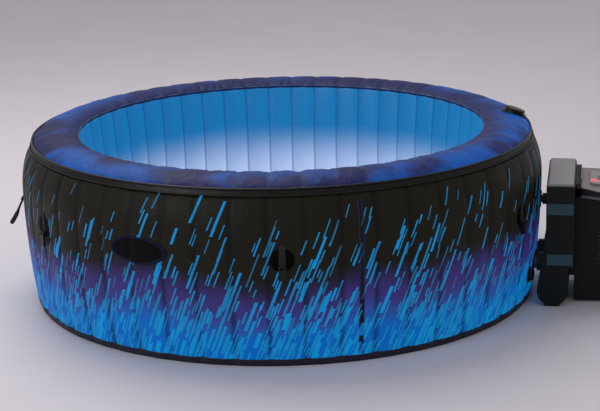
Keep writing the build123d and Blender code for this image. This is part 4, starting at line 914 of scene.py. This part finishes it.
def laid_ribbon(name, bearing, low, high, half, lift, rows=60):
    """Long strip laid on the wall from low to high."""
    shape = [(-half, 0.0003), (-half, lift * 0.7), (-half * 0.9, lift), (-half * 0.6, lift), (0, lift)]
    shape += [(half * 0.6, lift), (half * 0.9, lift), (half, lift * 0.7), (half, 0.0003), (0, 0.0003)]
    points = []
    faces = []
    count = len(shape)
    for step in range(rows + 1):
        height = low + (high - low) * step / rows
        squeeze = 0.4 if step in (0, rows) else 1
        points += [on_wall(bearing, side, height, max(0.0003, off * squeeze)) for side, off in shape]
    for step in range(rows):
        for k in range(count):
            after = (k + 1) % count
            a = step * count
            faces.append((a + k, a + after, a + count + after, a + count + k))
    faces.append(tuple(range(count - 1, -1, -1)))
    faces.append(tuple(rows * count + k for k in range(count)))
    return make_object(name, points, faces)


def oval(half_wide, half_high, count=72, power=2.0):
    """Outline of an oval, or of a rounded rectangle with a higher power."""
    points = []
    for k in range(count):
        turn = 2 * pi * k / count
        c, s = cos(turn), sin(turn)
        grow = (abs(c) ** power + abs(s) ** power) ** (-1 / power)
        points.append((half_wide * c * grow, half_high * s * grow))
    return points


def joined(name, parts):
    """One object from several."""
    points = []
    faces = []
    for part in parts:
        base = len(points)
        points += [vertex.co.copy() for vertex in part.data.vertices]
        faces += [tuple(base + index for index in polygon.vertices) for polygon in part.data.polygons]
        bpy.data.objects.remove(part)
    return make_object(name, points, faces)


# Share of the way to a patch's edge, with the height above the wall there.
WELDED = [(0, 0.0022), *[(0.12 * step, 0.0022) for step in range(1, 7)], (0.84, 0.0022), (0.87, 0.0014)]
WELDED += [(0.93, 0.0014), (0.95, 0.0023), (0.985, 0.0023), (1, 0.0012)]
BADGE = [(0, 0.0024), *[(0.08 * step, 0.0024) for step in range(1, 11)]]
BADGE += [(0.86, 0.0024), (0.88, 0.0040), (0.94, 0.0042), (0.97, 0.0036), (1, 0.0016)]
DISC_RADIUS = 0.045
DISC_RISE = 0.024  # disc's centre above the buckle's pin
STRAP_HALF = 0.0125
STRAP_TOP = 0.058  # strap's end above the disc's centre
LATCH_LOOP = (0.009, 0.005)  # half width and radius
STRIP_HALF = 0.010
PATCH_HALF = (0.069, 0.035)
ANCHOR_LOOP = (0.012, 0.0075)
ANCHOR_SHIFT = 0.045


def pin_loop(name, bearing, out, height, half_width, radius, side_shift=0.0):
    """Webbing loop from the wall round a pin, its edges rounded."""
    profile = [(-0.016, -radius * 0.55), (-0.006, -radius * 0.85)]
    for step in range(13):
        turn = radians(-110 + 220 * step / 12)
        profile.append((radius * cos(turn), radius * sin(turn)))
    profile += [(-0.006, radius * 0.85), (-0.016, radius * 0.55)]
    steps = [(-1.0, 0.9), (-0.92, 1.0), (-0.3, 1.0), (0.3, 1.0), (0.92, 1.0), (1.0, 0.9)]
    points = []
    faces = []
    count = len(profile)
    for share, size in steps:
        side = side_shift + share * half_width
        for away, up in profile:
            middle = Vector((out + away * size, side, height + up * size))
            points.append(Matrix.Rotation(bearing, 4, "Z") @ middle)
    for step in range(len(steps) - 1):
        a = step * count
        for k in range(count):
            after = (k + 1) % count
            faces.append((a + k, a + after, a + count + after, a + count + k))
    faces.append(tuple(range(count - 1, -1, -1)))
    faces.append(tuple((len(steps) - 1) * count + k for k in range(count)))
    return make_object(name, points, faces)


def joint_place(name):
    place = Vector(JOINTS[name]["pos_m"])
    return bearing_of(place), (place.x**2 + place.y**2) ** 0.5, place.z


def make_wall_trim():
    black = dark_vinyl("black_patch_vinyl", (0, 0, 1), (2, 2, 3), 0.5, 0.06)
    webbing = weave("black_webbing", (6, 6, 8), (26, 26, 28))
    discs = []
    straps = []
    for number in range(1, 7):
        bearing, out, height = joint_place(f"latch_swing_{number}")
        middle = height + DISC_RISE
        discs.append(laid_patch("disc", bearing, middle, oval(DISC_RADIUS, DISC_RADIUS), WELDED))
        ends = (height - 0.004, middle + STRAP_TOP)
        straps.append(laid_ribbon("strap", bearing, *ends, STRAP_HALF, 0.0038, 16))
        straps.append(pin_loop("loop", bearing, out, height, *LATCH_LOOP))
    settle(joined("latch_discs", discs), black, TUB, "black_vinyl", "latch_patches")
    settle(joined("latch_straps", straps), webbing, TUB, "webbing", "latch_webbing")

    low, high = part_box("badge_plate")
    middle = (low + high) / 2
    outline = oval(BADGE_HALF_LENGTH, BADGE_HALF_WIDTH, 120)
    badge = laid_patch("oval_badge", bearing_of(middle), middle.z, outline, BADGE)
    settle(badge, badge_vinyl(middle), TUB, "badge_patch", "badge_plate")

    low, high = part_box("wall_seam_strip")
    middle = (low + high) / 2
    strip = laid_ribbon("seam_strip", bearing_of(middle), low.z, high.z, STRIP_HALF, 0.0018, 120)
    settle(strip, strip_vinyl(bearing_of(middle)), TUB, "black_vinyl", "wall_seam_strip")

    patches = []
    for place in ("left", "rear"):
        bearing, out, height = joint_place(f"handle_swing_{place}")
        patches.append(laid_patch("patch", bearing, height, oval(*PATCH_HALF, 96, 6), WELDED))
        for shift in (-ANCHOR_SHIFT, ANCHOR_SHIFT):
            patches.append(pin_loop("loop", bearing, out, height, *ANCHOR_LOOP, shift))
        body = f"carry_handle_{place}"
        settle(handle_webbing(f"handle_{place}", bearing, out, height), webbing, body, "webbing", body)
    settle(joined("handle_patches", patches), black, TUB, "black_vinyl", "handle_anchors")


HANDLE_LEAN = radians(27)
HANDLE_HALF = 0.065
HANDLE_LENGTH = 0.118
HANDLE_BEND = 0.030
PIN_HALF = 0.071
PIN_RADIUS = 0.004
EYE_HALF = 0.006
EYE_RADIUS = 0.006


def bevelled_rod(radius, half, inward, back):
    """Profile of a short rod whose ends are cut inward and back."""
    first = [(0, -half), (radius - inward, -half), (radius, back - half)]
    return first + [(radius, half - back), (radius - inward, half), (0, half)]


def handle_webbing(name, bearing, out, height):
    """Webbing loop with a padded grip, leaning off the wall, on its pin."""
    half, length, bend = HANDLE_HALF, HANDLE_LENGTH, HANDLE_BEND
    path = [(-half, length * step / 8 * 0.7) for step in range(8)]
    for step in range(9):
        turn = radians(90 * step / 8)
        path.append((-half + bend - bend * cos(turn), length - bend + bend * sin(turn)))
    straight = 2 * half - 2 * bend
    path += [((bend - half) + straight * step / 10, length) for step in range(1, 10)]
    for step in range(9):
        turn = radians(90 * step / 8)
        path.append((half - bend + bend * sin(turn), length - bend + bend * cos(turn)))
    path += [(half, length * (1 - step / 8) * 0.7) for step in range(1, 9)]
    section = 16
    points = []
    faces = []
    away = Vector((cos(HANDLE_LEAN), 0, sin(HANDLE_LEAN)))
    down = Vector((sin(HANDLE_LEAN), 0, -cos(HANDLE_LEAN)))
    start = Vector((out, 0, height))
    last = len(path) - 1
    for index, (side, drop) in enumerate(path):
        before, after = path[max(0, index - 1)], path[min(last, index + 1)]
        ahead = Vector((after[0] - before[0], after[1] - before[1])).normalized()
        grip = max(0, min(1, (drop / length - 0.72) / 0.22)) ** 0.7
        wide = 0.006 + 0.0038 * grip
        thick = 0.0025 + 0.0068 * grip
        squash = 0.94 if index in (0, last) else 1
        for k in range(section):
            turn = 2 * pi * k / section
            c, s = cos(turn), sin(turn)
            power = 4 - 2 * grip
            grow = (abs(c) ** power + abs(s) ** power) ** (-1 / power) * squash
            flat = Vector((-ahead[1], ahead[0])) * (wide * c * grow)
            place = start + down * (drop + flat[1]) + away * (thick * s * grow)
            place.y = side + flat[0]
            points.append(place)
    for index in range(last):
        a = index * section
        for k in range(section):
            after = (k + 1) % section
            faces.append((a + k, a + section + k, a + section + after, a + after))
    faces.append(tuple(range(section)))
    faces.append(tuple(last * section + k for k in range(section - 1, -1, -1)))
    loop = make_object(name + "_loop", points, faces)
    on_side = Matrix.Rotation(radians(90), 4, "X")
    profile = bevelled_rod(PIN_RADIUS, PIN_HALF, 0.001, 0.001)
    pin = turned_solid(name + "_pin", profile, 20, Matrix.Translation(start) @ on_side)
    profile = bevelled_rod(EYE_RADIUS, EYE_HALF, 0.0005, 0.0008)
    eyes = []
    for side in (-half, half):
        centre = Matrix.Translation(start + Vector((0, side, 0))) @ on_side
        eyes.append(turned_solid(name + "_eye", profile, 24, centre))
    made = joined(name, [loop, pin, *eyes])
    made.data.transform(Matrix.Rotation(bearing, 4, "Z"))
    made.data.update()
    return made


# ---- hard parts that keep their shape ----
BUTTONS = ("heat", "filter", "bubbles", "warmer", "cooler")


def dress(finish, bevel, *names):
    """Rounds the edges of CAD nodes and gives them their finish."""
    for name in names:
        node = frame["nodes"][name]
        for slot in node.material_slots:
            slot.material = finish
        if not node.material_slots:
            node.data.materials.append(finish)
        weld = node.modifiers.new("weld", "WELD")
        weld.merge_threshold = 0.00001
        if bevel:
            edge = node.modifiers.new("edges", "BEVEL")
            edge.width = bevel
            edge.segments = 2
            edge.limit_method = "ANGLE"
            edge.angle_limit = radians(40)
            edge.use_clamp_overlap = True
        node.modifiers.new("shading", "WEIGHTED_NORMAL").keep_sharp = True


def dress_hard_parts():
    black = moulded("black_moulding", (3, 3, 5), (9, 9, 11), 0.34, gloss=0.3)
    casing = moulded("casing_moulding", CASING_DARK, CASING_LIGHT, 0.5, 0.00006, gloss=0.22)
    grey = moulded("light_trim_moulding", (116, 113, 117), (136, 133, 137), 0.4)
    nut = moulded("nut_moulding", (22, 24, 28), (36, 38, 42), 0.45)
    white = moulded("white_moulding", (176, 180, 186), (196, 200, 206), 0.4)
    steel = moulded("steel", (150, 152, 156), (172, 174, 178), 0.25, 0.00002, 1.0)
    rubber = moulded("rubber", (9, 9, 10), (20, 20, 21), 0.8, 0.0001)
    dress(black, 0.0006, *[f"latch_buckle_{number}" for number in range(1, 7)])
    dress(black, 0.0008, "rim_valve_cap", "drain_valve_cap")
    valve_vinyl = dark_vinyl("valve_flange_vinyl", (8, 8, 12), (22, 22, 28), 0.3)
    dress(valve_vinyl, 0.0006, "rim_valve_body", "drain_valve_body")
    dress(moulded("pipe_moulding", (70, 74, 80), (92, 96, 102)), 0.0004, "wall_pipes", "internal_pipes")
    dress(dark_vinyl("flange_vinyl", (30, 34, 42), (48, 52, 60)), 0.0003, "wall_flanges")
    dress(nut, 0.0006, "union_nut_supply", "union_nut_return", "union_nut_air")
    dress(rubber, 0.0003, "union_seals")
    dress(rubber, 0.001, "rubber_feet")
    dress(casing, 0.0015, "tower_housing", "main_housing", "base_plate")
    dress(hood_moulding(), 0.0015, "control_hood")
    dress(black, 0.0006, "cord_gland")
    dress(grey, 0.001, "tower_top_trim")
    # painted glow: the teal accent bands give out a faint teal light
    accent = moulded("accent_moulding", (0, 42, 52), (4, 56, 68), 0.4, glow=(0, 18, 24))
    dress(accent, 0.0006, "accent_bands")
    dress(panel_face(), 0.0008, "control_panel")
    key = moulded("button_moulding", (150, 150, 156), (170, 170, 176), 0.45)
    dress(key, 0.0008, *[f"button_{name}" for name in BUTTONS])
    dress(moulded("display_glass", (4, 5, 8), (9, 10, 14), 0.06, 0), 0.0004, "display_window")
    dress(red_lamp(), 0, "indicator_light")
    dress(white, 0.0006, "filter_housing", "filter_cap")
    dress(moulded("filter_paper", (196, 200, 204), (222, 226, 228), 0.85, 0.0002), 0, "filter_cartridge")
    dress(nut, 0.0008, "pump_housing", "blower_housing")
    dress(steel, 0.0003, "pump_rotor", "blower_rotor", "housing_screws")
    dress(steel, 0.0006, "heater_tube")
    dress(moulded("circuit_board", (14, 60, 36), (24, 84, 52), 0.4), 0.0002, "control_board")


def beam(name, low, high, bevel, segments=2):
    """Bar between two corners with rounded edges."""
    mesh = bpy.data.meshes.new(name)
    shape = bmesh.new()
    middle = (Vector(low) + Vector(high)) / 2
    size = Vector(high) - Vector(low)
    bmesh.ops.create_cube(shape, size=1, matrix=Matrix.Translation(middle) @ Matrix.Diagonal((*size, 1)))
    edges = shape.edges[:]
    bmesh.ops.bevel(shape, geom=edges, offset=bevel, segments=segments, profile=0.5, affect="EDGES")
    shape.to_mesh(mesh)
    shape.free()
    made = bpy.data.objects.new(name, mesh)
    bpy.context.collection.objects.link(made)
    return made


GRILLE_RIBS = 40
GRILLE_INSET = 0.06
LOUVRES = 9
LOUVRE_LOW = 0.18
LOUVRE_PITCH = 0.016
LOUVRE_HEIGHT = 0.007
LOUVRE_STAND = 0.0022
LOUVRE_SINK = 0.002
LOUVRE_BEVEL = 0.0018


def make_base_details():
    """Ribbed insert beside the tower's top strip and air louvres on the main box."""
    casing = moulded("louvre_moulding", (9, 13, 14), (15, 20, 22), 0.45)
    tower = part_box("tower_housing")[1]
    start, end = tower.x + 0.001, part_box("control_hood")[0].x - 0.001
    half = tower.y - GRILLE_INSET
    bars = [beam("bed", (start, -half, tower.z - 0.022), (end, half, tower.z - 0.008), 0.002)]
    for step in range(GRILLE_RIBS):
        y = -half + (step + 0.5) * 2 * half / GRILLE_RIBS
        corners = (start, y - 0.002, tower.z - 0.012), (end, y + 0.002, tower.z - 0.001)
        bars.append(beam("rib", *corners, 0.0012))
    settle(joined("tower_grille", bars), casing, TUB, "casing")

    box_low, box_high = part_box("main_housing")
    bars = []
    inside, outside = box_high.y - LOUVRE_SINK, box_high.y + LOUVRE_STAND
    for side in (-1, 1):
        near, far = sorted((side * inside, side * outside))
        for step in range(LOUVRES):
            height = LOUVRE_LOW + step * LOUVRE_PITCH
            corners = (box_low.x + 0.09, near, height), (box_low.x + 0.23, far, height + LOUVRE_HEIGHT)
            bars.append(beam("louvre", *corners, LOUVRE_BEVEL))
    inside, outside = box_high.x - LOUVRE_SINK, box_high.x + LOUVRE_STAND
    for step in range(LOUVRES):
        height = LOUVRE_LOW + step * LOUVRE_PITCH
        corners = (inside, -0.07, height), (outside, 0.07, height + LOUVRE_HEIGHT)
        bars.append(beam("louvre", *corners, LOUVRE_BEVEL))
    settle(joined("case_louvres", bars), casing, TUB, "casing")


set_camera()
set_studio()
make_skins()
make_edges()
make_floors()
make_webs()
make_wall_trim()
dress_hard_parts()
make_base_details()
